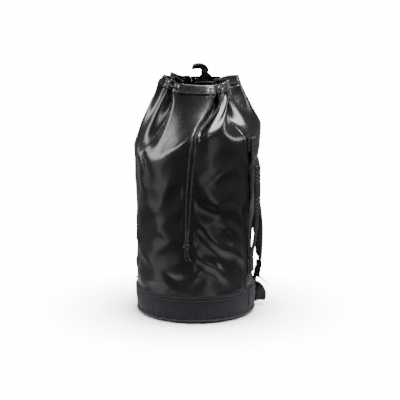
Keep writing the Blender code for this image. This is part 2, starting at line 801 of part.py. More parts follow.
def build_side_handle():
    """The carry handle: two doubled, sewn ends, the webbing between them, and a moulded grip round it."""
    lift = SEWN_LIFT + WEBBING_THICKNESS * 1.5
    spans = {"top": (HANDLE_TOP_Z, HANDLE_TOP_Z + 0.034), "foot": (HANDLE_FOOT_Z - 0.034, HANDLE_FOOT_Z)}
    width_turn = math.degrees(HANDLE_WEBBING_WIDTH / 2 / TUBE_RADIUS)
    patch_turn = width_turn * 1.55
    for name, (low, high) in spans.items():
        heights = spread(low - 0.006, high, 4) if name == "foot" else spread(low, high + 0.002, 4)
        turns = spread(HANDLE_AZIMUTH - patch_turn, HANDLE_AZIMUTH + patch_turn, 5)
        rows = [[off_wall(a, z, PATCH_LIFT) for a in turns] for z in heights]
        sheet_solid(f"side_handle_patch_{name}", rows, PATCH_THICKNESS, "base_fabric", closed=False)
        turns = spread(HANDLE_AZIMUTH - width_turn, HANDLE_AZIMUTH + width_turn, 3)
        rows = [[off_wall(a, z, SEWN_LIFT) for a in turns] for z in (low, (low + high) / 2, high)]
        sheet_solid(f"side_handle_end_{name}", rows, WEBBING_THICKNESS * 2, "webbing", closed=False)
    out, side = outward(HANDLE_AZIMUTH), along(HANDLE_AZIMUTH)
    top = off_wall(HANDLE_AZIMUTH, HANDLE_TOP_Z, lift) - Vector((0, 0, 0.0008))
    foot = off_wall(HANDLE_AZIMUTH, HANDLE_FOOT_Z, lift) + Vector((0, 0, 0.0008))
    reach = outward(HANDLE_AZIMUTH) * (TUBE_RADIUS + GRIP_STAND_OFF)
    route = [
        foot,
        foot + Vector((0, 0, 0.012)) + out * 0.0010,
        reach - out * 0.00407 + Vector((0, 0, 0.205)),
        reach + Vector((0, 0, GRIP_MIDDLE_Z - GRIP_LENGTH / 2 - 0.006)),
        reach + Vector((0, 0, GRIP_MIDDLE_Z)),
        reach + Vector((0, 0, GRIP_MIDDLE_Z + GRIP_LENGTH / 2 + 0.006)),
        top - Vector((0, 0, 0.012)) + out * 0.0015,
        top,
    ]
    line = smooth_route(route, 0.016)
    stations = [(point, side, HANDLE_WEBBING_WIDTH) for point in line]
    webbing = ribbon("side_handle_webbing", stations, WEBBING_THICKNESS, "webbing")
    inner = (HANDLE_WEBBING_WIDTH / 2 + 0.0006, WEBBING_THICKNESS / 2 + 0.0006)
    levels = [GRIP_MIDDLE_Z - GRIP_LENGTH / 2, GRIP_MIDDLE_Z + GRIP_LENGTH / 2]
    rib, groove = 0.0094, 0.0011
    steps = [(levels[0], 0.86), (levels[0] + 0.003, 1.0)]
    for count in range(4):
        middle = levels[0] + 0.0100 + rib * count
        steps += [(middle - 0.0016, 1.0), (middle, 1.0 - groove / 0.014), (middle + 0.0016, 1.0)]
    steps += [(2 * GRIP_MIDDLE_Z - z, share) for z, share in reversed(steps)]

    def build(bm):
        rings = []
        for z, share in steps:
            w, t = GRIP_WIDTH / 2 * share, GRIP_THICKNESS / 2 * share
            outline = ((-w, -t * 0.4), (-w * 0.8, -t), (w * 0.8, -t), (w, -t * 0.4),
                       (w, t * 0.4), (w * 0.8, t), (-w * 0.8, t), (-w, t * 0.4))
            centre = reach + Vector((0, 0, z))
            rings.append([bm.verts.new(centre + side * a + out * b) for a, b in outline])
        hole = []
        for z in (steps[0][0], steps[-1][0]):
            centre = reach + Vector((0, 0, z))
            w, t = inner
            near = w * 0.8
            outline = ((-w, -t), (-near, -t), (near, -t), (w, -t), (w, t), (near, t), (-near, t), (-w, t))
            hole.append([bm.verts.new(centre + side * a + out * b) for a, b in outline])
        loops = rings + [hole[1], hole[0], rings[0]]
        for here, there in zip(loops, loops[1:]):
            for i in range(8):
                j = (i + 1) % 8
                bm.faces.new((here[i], here[j], there[j], there[i]))

    grip = add_object("side_handle_grip", mesh_from("side_handle_grip", build), "moulded_plastic")
    pivot("side_handle_axis", foot, top - foot, [webbing, grip])


def build_strap(name, mirror):
    """One padded shoulder strap, from the yoke down to the tab on the base."""

    def flip(vector):
        return Vector((vector.x * mirror, vector.y, vector.z))

    def seat(azimuth, height, lift):
        return flip(off_wall(azimuth * mirror, height, lift))

    half = WEBBING_THICKNESS / 2
    lift = SEWN_LIFT + half
    top = seat(STRAP_TOP_AZIMUTH, STRAP_TOP_Z, lift)
    top_radius = math.hypot(top.x, top.y)
    path = [
        (STRAP_TOP_AZIMUTH, top_radius, STRAP_TOP_Z),
        (STRAP_TOP_AZIMUTH - 0.4, top_radius + 0.0020, STRAP_TOP_Z - 0.010),
        (160.0, TUBE_RADIUS + 0.0202, 0.366),
        (149.0, TUBE_RADIUS + 0.0272, 0.320),
        (136.0, TUBE_RADIUS + 0.0307, 0.260),
        (124.0, TUBE_RADIUS + 0.0272, 0.190),
        (114.5, TUBE_RADIUS + 0.0202, 0.136),
        (114.8, TUBE_RADIUS + 0.0162, 0.116),
    ]
    line = smooth_route([outward(a) * r + Vector((0, 0, z)) for a, r, z in path], 0.012)
    count = len(line)

    # The ladder lock hangs in line with the strap: up along it, side across it and out off the wall.
    centre = outward(116.4) * (TUBE_RADIUS + 0.0142) + Vector((0, 0, 0.0915))
    up = (line[-1] - centre).normalized()
    out = outward(116.4)
    out = (out - up * out.dot(up)).normalized()
    side = up.cross(out)

    def by_wall(azimuth, off, height):
        return outward(azimuth) * (TUBE_RADIUS + off) + Vector((0, 0, height))

    def at_lock(along_strap, off, across=0.0):
        return flip(centre + up * along_strap + out * off + side * across)

    stations = []
    pads = []
    for i, point in enumerate(line):
        path_way = (line[min(i + 1, count - 1)] - line[max(i - 1, 0)]).normalized()
        radial = Vector((point.x, point.y, 0)).normalized()
        face = (radial - path_way * radial.dot(path_way)).normalized()
        across = path_way.cross(face)
        stations.append((flip(point), flip(across), STRAP_WEBBING_WIDTH))
        if 0.1245 <= point.z <= 0.372:
            pads.append((point, across, face))
    for along_strap, off in (
        (LOCK_PITCH + 0.008, 0.0030), (LOCK_PITCH + 0.0025, 0.0038), (LOCK_PITCH - 0.0028, 0.0022),
        (LOCK_PITCH - 0.0034, 0.0), (LOCK_PITCH - 0.0028, -0.0022), (LOCK_PITCH + 0.0025, -0.0036),
        (LOCK_PITCH + 0.012, -0.0030),
    ):
        stations.append((at_lock(along_strap, off), flip(side), STRAP_WEBBING_WIDTH))
    stations[0] = (stations[0][0] - Vector((0, 0, GAP)), *stations[0][1:])
    start = stations[0][0]
    moving = [ribbon(f"strap_webbing_{name}", stations, WEBBING_THICKNESS, "webbing")]

    sections = []
    drop = PAD_THICKNESS / 2 + half + 0.0006
    for i, (point, across, face) in enumerate(pads):
        last = len(pads) - 1
        share = 0.62 if i in (0, last) else 0.90 if i in (1, last - 1) else 1.0
        if i in (0, last):
            share, thick = 0.70, PAD_THICKNESS * 0.6
        else:
            thick = PAD_THICKNESS
        sections.append((flip(point - face * drop), flip(across), flip(face), PAD_WIDTH * share, thick))
    moving.append(rounded_bar(f"strap_pad_{name}", sections, "base_fabric", corner=0.28))

    tab_rows = [
        [
            flip(seat(STRAP_TOP_AZIMUTH + turn, z, lift - half))
            for turn in spread(-4.8, 4.8, 3)
        ]
        for z in (STRAP_TOP_Z + 0.0015, STRAP_TOP_Z + 0.016, STRAP_TOP_Z + 0.032)
    ]
    sheet_solid(f"strap_top_{name}", tab_rows, WEBBING_THICKNESS * mirror, "webbing", closed=False)

    def build_lock(bm):
        w, bar = LOCK_WIDTH / 2, LOCK_BAR / 2
        rise = LOCK_PITCH
        inner = STRAP_WEBBING_WIDTH / 2 + 0.0006
        columns = (-w, -inner, inner, w)
        rows = (-rise - bar, -rise + bar, -bar, bar, rise - bar, rise + bar)
        front = [[bm.verts.new(at_lock(r, bar, c)) for c in columns] for r in rows]
        back = [[bm.verts.new(at_lock(r, -bar, c)) for c in columns] for r in rows]
        for i in range(5):
            for j in range(3):
                if j == 1 and i in (1, 3):
                    continue
                bm.faces.new((front[i][j], front[i][j + 1], front[i + 1][j + 1], front[i + 1][j]))
                bm.faces.new((back[i + 1][j], back[i + 1][j + 1], back[i][j + 1], back[i][j]))
        for i in range(5):
            for j in (0, 3):
                bm.faces.new((front[i][j], front[i + 1][j], back[i + 1][j], back[i][j]))
        for j in range(3):
            for i in (0, 5):
                bm.faces.new((front[i][j], front[i][j + 1], back[i][j + 1], back[i][j]))
        for i in (1, 3):
            for j in (1, 2):
                bm.faces.new((front[i][j], front[i + 1][j], back[i + 1][j], back[i][j]))
            for k in (i, i + 1):
                bm.faces.new((front[k][1], front[k][2], back[k][2], back[k][1]))

    lock = mesh_from("lock", build_lock)
    moving.append(add_object(f"ladder_lock_{name}", lock, "moulded_plastic", smooth=20.0))

    # The adjusting webbing comes up behind the lock, over its middle bar and out again as the tail.
    beside = LOCK_BAR / 2 + half + GAP
    behind = -(LOCK_BAR / 2 + half * 3.0 + GAP * 3.0)
    wrap = [
        (-LOCK_PITCH - 0.0075, -0.0054), (-LOCK_PITCH, behind), (0.0005, behind), (0.0038, -0.0034),
        (0.0044, -0.0004), (0.0030, 0.0026), (-0.0012, 0.0031), (-0.0042, 0.0004), (-0.0075, -0.0021),
        (-LOCK_PITCH, -beside), (-LOCK_PITCH - 0.0050, -0.0022),
    ]
    tail = [
        centre - up * 0.0200 + out * 0.0050 - side * 0.001,
        centre - up * 0.0262 + out * 0.0135 - side * 0.004,
        centre - up * 0.0322 + out * 0.0220 - side * 0.008,
        centre - up * 0.0390 + out * 0.0305 - side * 0.012,
    ]
    stations = [(at_lock(a, b), flip(side), STRAP_WEBBING_WIDTH) for a, b in wrap]
    turn_out = flip((side * 0.8 + out * 0.2 - up * 0.3).normalized())
    for i, point in enumerate(tail):
        mix = (i + 1) / len(tail)
        way = (flip(side) * (1 - mix) + turn_out * mix).normalized()
        stations.append((flip(point), way, STRAP_WEBBING_WIDTH * (1.0 - 0.18 * mix)))
    moving.append(ribbon(f"strap_tail_{name}", stations, WEBBING_THICKNESS, "webbing"))

    # The part of it that is sewn to the base hangs down in a slack fold.
    split = centre - up * (LOCK_PITCH + 0.0075 + 0.0010) - out * 0.0054
    pivot(f"strap_{name}_axis", flip(split), start - flip(split), moving)
    wing_lift = 0.0062
    anchor = seat(WING_AZIMUTH, 0.048, wing_lift)
    level = along(12.0) * -1.0
    sewn = along(WING_AZIMUTH)
    route = [
        (anchor, sewn),
        (seat(WING_AZIMUTH, 0.036, wing_lift), sewn),
        (by_wall(116.405, 0.01186, 0.0225), (sewn + level * 0.5).normalized()),
        (by_wall(113.891, 0.01516, 0.0130), (sewn * 0.2 + level).normalized()),
        (by_wall(111.286, 0.01748, 0.0180), level),
        (by_wall(111.801, 0.01914, 0.0340), (level + side * 0.3).normalized()),
        (split - up * 0.0180 + out * 0.0040, (level * 0.25 + side).normalized()),
        (split - up * 0.0060 + out * 0.0002, side),
        (split, side),
    ]
    points = smooth_route([p for p, _ in route], 0.008)
    marks = []
    for i in range(len(route) - 1):
        steps = max(1, round((route[i + 1][0] - route[i][0]).length / 0.008))
        marks += [(i, step / steps) for step in range(steps)]
    marks.append((len(route) - 2, 1.0))
    stations = []
    for point, (i, share) in zip(points, marks):
        way = (route[i][1] * (1 - share) + route[i + 1][1] * share).normalized()
        stations.append((flip(point), flip(way), STRAP_WEBBING_WIDTH))
    ribbon(f"strap_lower_{name}", stations, WEBBING_THICKNESS, "webbing")
    rows = [
        [flip(seat(WING_AZIMUTH + turn, z, 0.0027)) for turn in spread(-half_turn, half_turn, 3)]
        for z, half_turn in ((0.030, 5.4), (0.042, 6.2), (0.056, 7.0))
    ]
    sheet_solid(f"base_wing_{name}", rows, 0.0012 * mirror, "base_fabric", closed=False)


def build_yoke():
    """The doubled patch across the back that the shoulder straps are sewn to."""
    turns = spread(STRAP_TOP_AZIMUTH - 8.0, 360.0 - STRAP_TOP_AZIMUTH + 8.0, 9)
    levels = spread(STRAP_TOP_Z + YOKE_RISE, STRAP_TOP_Z + 0.041, 4)
    rows = [[off_wall(a, z, PATCH_LIFT) for a in turns] for z in levels]
    sheet_solid("back_yoke", rows, PATCH_THICKNESS, "base_fabric", closed=False)


def main():
    """Builds every piece."""
    clear_scene()
    build_tube()
    build_hem()
    build_eyelets()
    build_base()
    build_drawcord()
    build_haul_loop()
    build_side_handle()
    build_yoke()
    for name, mirror in (("right", 1.0), ("left", -1.0)):
        build_strap(name, mirror)


main()
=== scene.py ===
"""The finished look of a rope storage bag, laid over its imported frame.

Metres, +Z up, the front towards -Y. Azimuths are in degrees from the front towards +X. Every surface is a
function of two parameters worked out on whole numpy arrays: the tube is a sheet of cloth relaxed to its
flat lengths, and bands, tapes and cords are profiles carried along smooth routes.
"""

import logging
import math
from dataclasses import dataclass, field
from enum import Enum

import bpy
import numpy as np
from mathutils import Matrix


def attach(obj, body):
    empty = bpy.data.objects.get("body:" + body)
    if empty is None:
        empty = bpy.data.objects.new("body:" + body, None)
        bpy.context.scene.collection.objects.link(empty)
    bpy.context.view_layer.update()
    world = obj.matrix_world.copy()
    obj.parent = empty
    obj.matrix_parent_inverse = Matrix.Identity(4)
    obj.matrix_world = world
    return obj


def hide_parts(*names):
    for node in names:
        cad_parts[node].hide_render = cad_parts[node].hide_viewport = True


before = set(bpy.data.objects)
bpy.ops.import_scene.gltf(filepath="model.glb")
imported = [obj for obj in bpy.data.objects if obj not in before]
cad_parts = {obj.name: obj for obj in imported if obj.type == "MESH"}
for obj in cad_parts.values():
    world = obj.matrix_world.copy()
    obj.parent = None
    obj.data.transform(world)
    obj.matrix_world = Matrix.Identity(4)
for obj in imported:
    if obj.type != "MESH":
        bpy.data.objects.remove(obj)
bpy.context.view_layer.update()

Array = np.ndarray
Piece = bpy.types.Object
Socket = bpy.types.NodeSocket
LOG = logging.getLogger("rope_bag")
TAU = 2.0 * math.pi
UP = np.array((0.0, 0.0, 1.0))

# ---------------------------------------------------------------- sizes shared with the frame

TUBE_RADIUS = 0.1478
WALL_FOOT_Z = 0.0112
GAP = 0.0003
BAND_THICKNESS = 0.0016
BAND_TOP_Z = 0.0700
BASE_SEAM_RADIUS = 0.1455
BASE_FLAT_RADIUS = 0.1260
BASE_RISE = 0.0064
PIPING_RADIUS = 0.0019
HEM_HEIGHT = 0.0240
HEM_THICKNESS = 0.0022
HEM_LIFT = 0.0010
EYELET_COUNT = 12
EYELET_DROP = 0.0120
EYELET_BORE_RADIUS = 0.0049
EYELET_FLANGE_RADIUS = 0.0072
EYELET_FLAT = 0.0098
EYELET_PITCH = 0.0785
CORD_DIAMETER = 0.0045
KNOT_RADIUS = 0.0078
KNOT_HEIGHT = 0.0200
KNOT_Z = 0.1965
KNOT_AZIMUTH = 4.2
TAIL_LENGTH = 0.0250
PATCH_LIFT = 0.0010
PATCH_THICKNESS = 0.0012
SEWN_LIFT = PATCH_LIFT + PATCH_THICKNESS + 2 * GAP
WEBBING_THICKNESS = 0.0016
WEBBING_WIDTH = 0.0250
STRAP_TOP_AZIMUTH = 165.0
STRAP_TOP_Z = 0.3910
YOKE_RISE = 0.0036
WING_AZIMUTH = 117.0
HANDLE_AZIMUTH = 80.0
HANDLE_TOP_Z = 0.4150
HANDLE_FOOT_Z = 0.1450

# Where the rim stands at each eyelet: fabric azimuth, x, y, height, and the azimuth that the hem faces.
EYELET_SEATS = np.array(
    (
        (-150, -0.0380, 0.0530, 0.579, -150),
        (-120, -0.0500, 0.0240, 0.583, -88),
        (-90, -0.0500, -0.0010, 0.583, -92),
        (-60, -0.0600, -0.0220, 0.583, -48),
        (-30, -0.0330, -0.0440, 0.576, -20),
        (0, 0.0460, -0.0430, 0.573, 14),
        (30, 0.0610, -0.0250, 0.574, 47),
        (60, 0.0570, 0.0065, 0.580, 99),
        (90, 0.0560, 0.0350, 0.581, 79),
        (120, 0.0740, 0.0715, 0.580, 178),
        (150, 0.0350, 0.0710, 0.577, 187),
        (180, -0.0130, 0.0635, 0.577, 195),
    )
)

# The tall corners of the rim, each a pleat after the eyelet with this index: x, y, z.
PLEAT_PEAKS = {
    0: (-0.078, 0.037, 0.592),
    2: (-0.078, -0.012, 0.592),
    6: (0.091, -0.004, 0.585),
    8: (0.104, 0.065, 0.587),
}

# Whether the hem between each eyelet and the next folds out, 1, or in, -1, which its cord's run decides.
FOLD_SIDES = np.array((1, -1, 1, -1, 1, -1, 1, -1, 1, -1, 1, -1))

# The shoulder, where the upright wall turns in: fabric azimuth, azimuth, radius, height, tuck of the slope.
SHOULDER = np.array(
    (
        (-165, -165, 0.1475, 0.438, 0.006),
        (-135, -135, 0.1495, 0.446, 0.000),
        (-115, -115, 0.1560, 0.452, 0.004),
        (-96, -97, 0.1500, 0.437, 0.016),
        (-78, -79, 0.1545, 0.425, 0.000),
        (-55, -55, 0.1490, 0.416, 0.002),
        (-28, -26, 0.1480, 0.404, 0.008),
        (0, 2, 0.1470, 0.447, 0.004),
        (22, 20, 0.1450, 0.464, 0.000),
        (38, 31, 0.1450, 0.468, 0.000),
        (62, 58, 0.1480, 0.452, 0.014),
        (88, 86, 0.1520, 0.462, 0.018),
        (112, 112, 0.1660, 0.475, 0.000),
        (135, 134, 0.1510, 0.456, 0.002),
        (165, 165, 0.1475, 0.441, 0.006),
    )
)

# Where the upright wall is pushed in: azimuth, height, half width in degrees, half height, depth.
DENTS = (
    (102, 0.165, 26, 0.070, 0.010),
    (100, 0.092, 14, 0.012, 0.006),
    (-20, 0.240, 40, 0.090, 0.003),
    (-110, 0.300, 30, 0.080, 0.004),
    (178, 0.250, 34, 0.100, 0.004),
)

# Creases of the upright wall: azimuth, height, lean in degrees, half length, half width, rise.
CREASES = (
    (-62, 0.418, -52, 0.030, 0.0060, 0.0032),
    (-45, 0.392, -60, 0.026, 0.0050, -0.0020),
    (30, 0.205, -46, 0.060, 0.0085, 0.0026),
    (24, 0.150, -36, 0.036, 0.0075, 0.0022),
    (-2, 0.128, 12, 0.026, 0.0070, 0.0020),
    (-12, 0.112, -34, 0.022, 0.0060, -0.0018),
    (36, 0.128, -58, 0.030, 0.0065, 0.0024),
    (12, 0.118, 48, 0.022, 0.0060, 0.0018),
    (42, 0.372, 30, 0.040, 0.0080, 0.0020),
    (44, 0.318, 24, 0.036, 0.0075, 0.0016),
    (58, 0.262, -48, 0.034, 0.0080, 0.0018),
    (-40, 0.285, -20, 0.045, 0.0110, 0.0014),
    (-66, 0.205, -62, 0.030, 0.0080, 0.0020),
    (-72, 0.130, 40, 0.026, 0.0070, 0.0018),
    (-28, 0.180, 26, 0.040, 0.0100, 0.0012),
    (62, 0.150, -66, 0.028, 0.0060, 0.0022),
    (-30, 0.100, 8, 0.030, 0.0060, 0.0013),
    (14, 0.262, -34, 0.055, 0.0120, 0.0024),
    (34, 0.292, -28, 0.050, 0.0110, 0.0026),
    (20, 0.338, -38, 0.045, 0.0120, 0.0020),
    (46, 0.235, -32, 0.045, 0.0100, 0.0024),
    (48, 0.182, -40, 0.045, 0.0100, 0.0028),
    (-50, 0.345, -70, 0.040, 0.0110, 0.0022),
    (-14, 0.350, 64, 0.045, 0.0120, 0.0018),
    (-56, 0.260, 30, 0.050, 0.0130, 0.0020),
    (-20, 0.225, -24, 0.055, 0.0140, 0.0020),
    (-48, 0.160, -30, 0.045, 0.0110, 0.0022),
    (4, 0.165, 38, 0.035, 0.0090, 0.0024),
)
CREASE_SPREAD, CREASE_DEPTH = 1.5, 2.05


# ---------------------------------------------------------------- plain vector work


def outward(azimuth: Array | float) -> Array:
    """The level direction that faces each azimuth: (sin, -cos, 0)."""
    turn = np.radians(np.asarray(azimuth, float))
    return np.stack((np.sin(turn), -np.cos(turn), np.zeros_like(turn)), -1)


def along(azimuth: Array | float) -> Array:
    """The level direction of growing azimuth: (cos, sin, 0)."""
    turn = np.radians(np.asarray(azimuth, float))
    return np.stack((np.cos(turn), np.sin(turn), np.zeros_like(turn)), -1)


def turn_from(azimuth: Array, middle: Array | float) -> Array:
    """Degrees from a middle azimuth to each azimuth, -180 to 180."""
    return (azimuth - middle + 180.0) % 360.0 - 180.0


def unit(vectors: Array) -> Array:
    """The vectors at length one."""
    return vectors / np.maximum(np.linalg.norm(vectors, axis=-1, keepdims=True), 1e-12)


def smooth_step(value: Array) -> Array:
    """0 to 1 with level ends: 3t^2 - 2t^3."""
    value = np.clip(value, 0.0, 1.0)
    return value * value * (3.0 - 2.0 * value)


def hermite(start: Array, end: Array, leave: Array, arrive: Array, share: Array) -> Array:
    """The cubic from start to end with these end tangents, at each share of the way."""
    a, b = share * share, share * share * share
    return start * (2 * b - 3 * a + 1) + leave * (b - 2 * a + share) + end * (3 * a - 2 * b) + arrive * (b - a)


def route(points: Array, spacing: float) -> Array:
    """Points at about this spacing on the smooth curve through a route's own points.

    Args:
        points: the route's own points, one row each.
        spacing: the step between the points that come back.

    Returns:
        The curve's points: between neighbours, the cubic whose tangents are half the chord past each.
    """
    knots = np.asarray(points, float)
    before = np.vstack((knots[:1], knots[:-1]))
    after = np.vstack((knots[1:], knots[-1:]))
    tangent = (after - before) / 2.0
    pieces = [knots[:1]]
    for i in range(len(knots) - 1):
        steps = max(1, round(float(np.linalg.norm(knots[i + 1] - knots[i])) / spacing))
        share = (np.arange(1, steps + 1) / steps)[:, None]
        pieces.append(hermite(knots[i], knots[i + 1], tangent[i], tangent[i + 1], share))
    return np.vstack(pieces)


def distances(points: Array) -> Array:
    """How far along a polyline each of its points lies."""
    return np.concatenate(((0.0,), np.cumsum(np.linalg.norm(np.diff(points, axis=0), axis=1))))


def pairs(first: Array, second: Array) -> Array:
    """UV pairs of two sets of numbers, spread over each other's rows and columns."""
    return np.stack(np.broadcast_arrays(first, second), -1)


def march(points: Array, pitch: float, values: Array | None = None) -> tuple[Array, Array]:
    """Evenly spaced points along a polyline, with what else is carried by it.

    Args:
        points: the polyline.
        pitch: the distance between the points that come back.
        values: columns that are read at the same places, or the points themselves.

    Returns:
        The read values, and their distances from the start.
    """
    values = points if values is None else values
    run = distances(points)
    count = max(2, int(round(run[-1] / pitch)) + 1)
    wanted = np.linspace(0.0, run[-1], count)
    read = np.stack([np.interp(wanted, run, values[:, k]) for k in range(values.shape[1])], -1)
    return read, wanted


def path_tangents(points: Array) -> Array:
    """The direction of travel at each point of a path: its central difference."""
    return unit(np.gradient(points, axis=0))


# ---------------------------------------------------------------- the wall's surface


def around_shoulder(azimuth: Array, sharp: float = 0.0) -> Array:
    """The shoulder table read round the tube: azimuth, radius, height and tuck last.

    Args:
        azimuth: fabric azimuths.
        sharp: 0 for cubic steps between the table's rows, 1 for straight ones, which crease at the rows.

    Returns:
        The table's columns at each azimuth.
    """
    count, first = len(SHOULDER), SHOULDER[0, 0]
    azimuth = (np.asarray(azimuth, float) - first) % 360.0 + first
    index = np.searchsorted(SHOULDER[:, 0], azimuth + 1e-9, side="right") - 1

    def row(step: int) -> Array:
        turns, place = np.divmod(index + step, count)
        values = SHOULDER[place].copy()
        values[..., 0] += 360.0 * turns
        values[..., 1] += 360.0 * turns
        return values

    before, here, there, after = row(-1), row(0), row(1), row(2)
    span = (there[..., :1] - here[..., :1])
    share = (azimuth[..., None] - here[..., :1]) / span
    leave = (there[..., 1:] - before[..., 1:]) / (there[..., :1] - before[..., :1]) * span
    arrive = (after[..., 1:] - here[..., 1:]) / (after[..., :1] - here[..., :1]) * span
    straight = here[..., 1:] * (1.0 - share) + there[..., 1:] * share
    return hermite(here[..., 1:], there[..., 1:], leave, arrive, share) * (1.0 - sharp) + straight * sharp


def shoulder_point(azimuth: Array) -> Array:
    """Where the wall at each fabric azimuth turns in."""
    row = around_shoulder(azimuth)
    return outward(row[..., 0]) * row[..., 1:2] + UP * row[..., 2:3]


def seat_frames() -> tuple[Array, Array, Array, Array]:
    """Each eyelet's seat on the rim: points, the rim's run, up the slope, and out through the hem."""
    point = EYELET_SEATS[:, 1:4]
    run = along(EYELET_SEATS[:, 4])
    slope = point - shoulder_point(EYELET_SEATS[:, 0])
    up = unit(slope - run * np.sum(slope * run, -1, keepdims=True))
    return point, run, up, np.cross(run, up)


SEAT_POINT, SEAT_RUN, SEAT_UP, SEAT_OUT = seat_frames()


def rim_place(azimuth: Array) -> tuple[Array, Array]:
    """The rim's edge at each fabric azimuth, and the direction up the slope to it."""
    azimuth = np.asarray(azimuth, float)
    pitch = 360.0 / EYELET_COUNT
    flat = pitch / 6.0
    place = ((azimuth - EYELET_SEATS[0, 0]) % 360.0) / pitch
    index = np.floor(place + 1e-9).astype(int) % EYELET_COUNT
    nearby = (index + 1) % EYELET_COUNT
    offset = (place - np.floor(place + 1e-9)) * pitch
    here, run, up = SEAT_POINT[index], SEAT_RUN[index], SEAT_UP[index]
    there, next_run, next_up = SEAT_POINT[nearby], SEAT_RUN[nearby], SEAT_UP[nearby]
    share = np.clip((offset - flat) / (pitch - 2.0 * flat), 0.0, 1.0)[..., None]
    start, end = here + run * EYELET_FLAT, there - next_run * EYELET_FLAT
    reach = np.linalg.norm(end - start, axis=-1, keepdims=True)
    point = hermite(start, end, run * reach, next_run * reach, share)
    rise = unit(up * (1.0 - share) + next_up * share)
    for place_index, corner in PLEAT_PEAKS.items():
        peak = np.array(corner)
        crest = unit(peak - shoulder_point(azimuth))
        across = unit(end - start) * 0.026
        first = hermite(start, peak, run * 0.008 + (peak - start) * 0.7, across, share * 2.0)
        second = hermite(peak, end, across, next_run * 0.008 + (end - peak) * 0.7, share * 2.0 - 1.0)
        early = share <= 0.5
        tall = np.where(early, first, second)
        mix = np.where(early, share * 2.0, 2.0 - share * 2.0)
        tilt = unit(np.where(early, up, next_up) * (1.0 - mix) + crest * mix)
        chosen = (index == place_index)[..., None]
        point, rise = np.where(chosen, tall, point), np.where(chosen, tilt, rise)
    offset = offset[..., None]
    start_flat, end_flat = offset <= flat + 1e-9, offset >= pitch - flat - 1e-9
    point = np.where(start_flat, here + run * (EYELET_FLAT * offset / flat), point)
    point = np.where(end_flat, there - next_run * (EYELET_FLAT * (pitch - offset) / flat), point)
    return point, np.where(start_flat, up, np.where(end_flat, next_up, rise))


def tube_radius(height: Array) -> Array:
    """The upright wall's outer radius: full above the band, drawn in a little to the base seam."""
    foot = BASE_SEAM_RADIUS - BAND_THICKNESS - GAP
    return foot + (TUBE_RADIUS - foot) * smooth_step((height - WALL_FOOT_Z) / 0.040) ** 0.7


def dent_depth(azimuth: Array, height: Array) -> Array:
    """How far the dents push the wall in: a sum of Gaussian hollows."""
    depth = 0.0
    for middle, level, half_width, half_height, deepest in DENTS:
        turn = turn_from(azimuth, middle) / half_width
        depth = depth + deepest * np.exp(-(turn**2) - ((height - level) / half_height) ** 2)
    return depth


def wall_point(azimuth: Array | float, station: Array | float, sharp: float = 0.0) -> Array:
    """The wall's outer face: station 0 is its foot, 1 the shoulder, 2 the hem's lower edge, 3 the rim."""
    azimuth, station = np.broadcast_arrays(np.asarray(azimuth, float), np.asarray(station, float))
    row = around_shoulder(azimuth, sharp)
    turn, radius, height, tuck = (row[..., k] for k in range(4))
    level = WALL_FOOT_Z + (height - WALL_FOOT_Z) * np.minimum(station, 1.0)
    blend = smooth_step((station - 0.55) / 0.45)
    wall = tube_radius(level) - dent_depth(azimuth, level) * (1.0 - blend)
    wall = wall + (radius - wall) * blend
    drift = turn_from(turn, azimuth)
    upright = outward(azimuth + drift * blend) * wall[..., None] + UP * level[..., None]
    rim, up = rim_place(azimuth)
    in_hem = rim - up * (HEM_HEIGHT * (3.0 - station))[..., None]
    share = np.clip(station - 1.0, 0.0, 1.0)[..., None]
    shoulder = outward(turn) * radius[..., None] + UP * height[..., None]
    hem = rim - up * HEM_HEIGHT
    reach = np.linalg.norm(hem - shoulder, axis=-1, keepdims=True)
    leave = unit(hem - shoulder) + UP * 0.45
    slope = hermite(shoulder, hem, leave * reach * 0.75, up * reach, share)
    slope = slope - outward(azimuth) * (tuck[..., None] * 4.0 * share * (1.0 - share))
    station = station[..., None]
    return np.where(station <= 1.0, upright, np.where(station >= 2.0, in_hem, slope))


def station_at(azimuth: Array, height: Array) -> Array:
    """The station of the upright wall at each height."""
    return (height - WALL_FOOT_Z) / (around_shoulder(azimuth)[..., 2] - WALL_FOOT_Z)


def on_wall(azimuth: Array | float, station: Array | float, lift: Array | float) -> Array:
    """Points held off the wall's outer face along its normal, which is the cross of its two slopes."""
    azimuth, station = np.broadcast_arrays(np.asarray(azimuth, float), np.asarray(station, float))
    side = wall_point(azimuth + 2.5, station) - wall_point(azimuth - 2.5, station)
    low, high = np.maximum(0.0, station - 0.01), np.minimum(3.0, station + 0.01)
    normal = unit(np.cross(side, wall_point(azimuth, high) - wall_point(azimuth, low)))
    return wall_point(azimuth, station) + normal * np.asarray(lift, float)[..., None]


def off_wall(azimuth: Array | float, height: Array | float, lift: Array | float) -> Array:
    """Points held off the upright wall at these heights."""
    azimuth, height = np.broadcast_arrays(np.asarray(azimuth, float), np.asarray(height, float))
    return on_wall(azimuth, station_at(azimuth, height), lift)


# ---------------------------------------------------------------- meshes


def link(mesh: bpy.types.Mesh) -> Piece:
    """Puts a mesh in the scene as one piece of the same name."""
    piece = bpy.data.objects.new(mesh.name, mesh)
    bpy.context.scene.collection.objects.link(piece)
    return piece


def mesh_piece(name: str, points: Array, faces: list, uvs: Array | None = None) -> Piece:
    """A piece from points, faces and one UV pair for each face corner.

    Args:
        name: the piece's name.
        points: its points, (n, 3).
        faces: point numbers of each face, in lists.
        uvs: metres along and across the cloth at each corner, in face order.

    Returns:
        The linked piece, shaded smooth.
    """
    mesh = bpy.data.meshes.new(name)
    mesh.from_pydata(np.asarray(points, float).reshape(-1, 3), [], faces)
    if uvs is not None:
        layer = mesh.uv_layers.new(name="cloth")
        layer.data.foreach_set("uv", np.ascontiguousarray(uvs, np.float32).ravel())
    mesh.shade_smooth()
    mesh.update()
    return link(mesh)


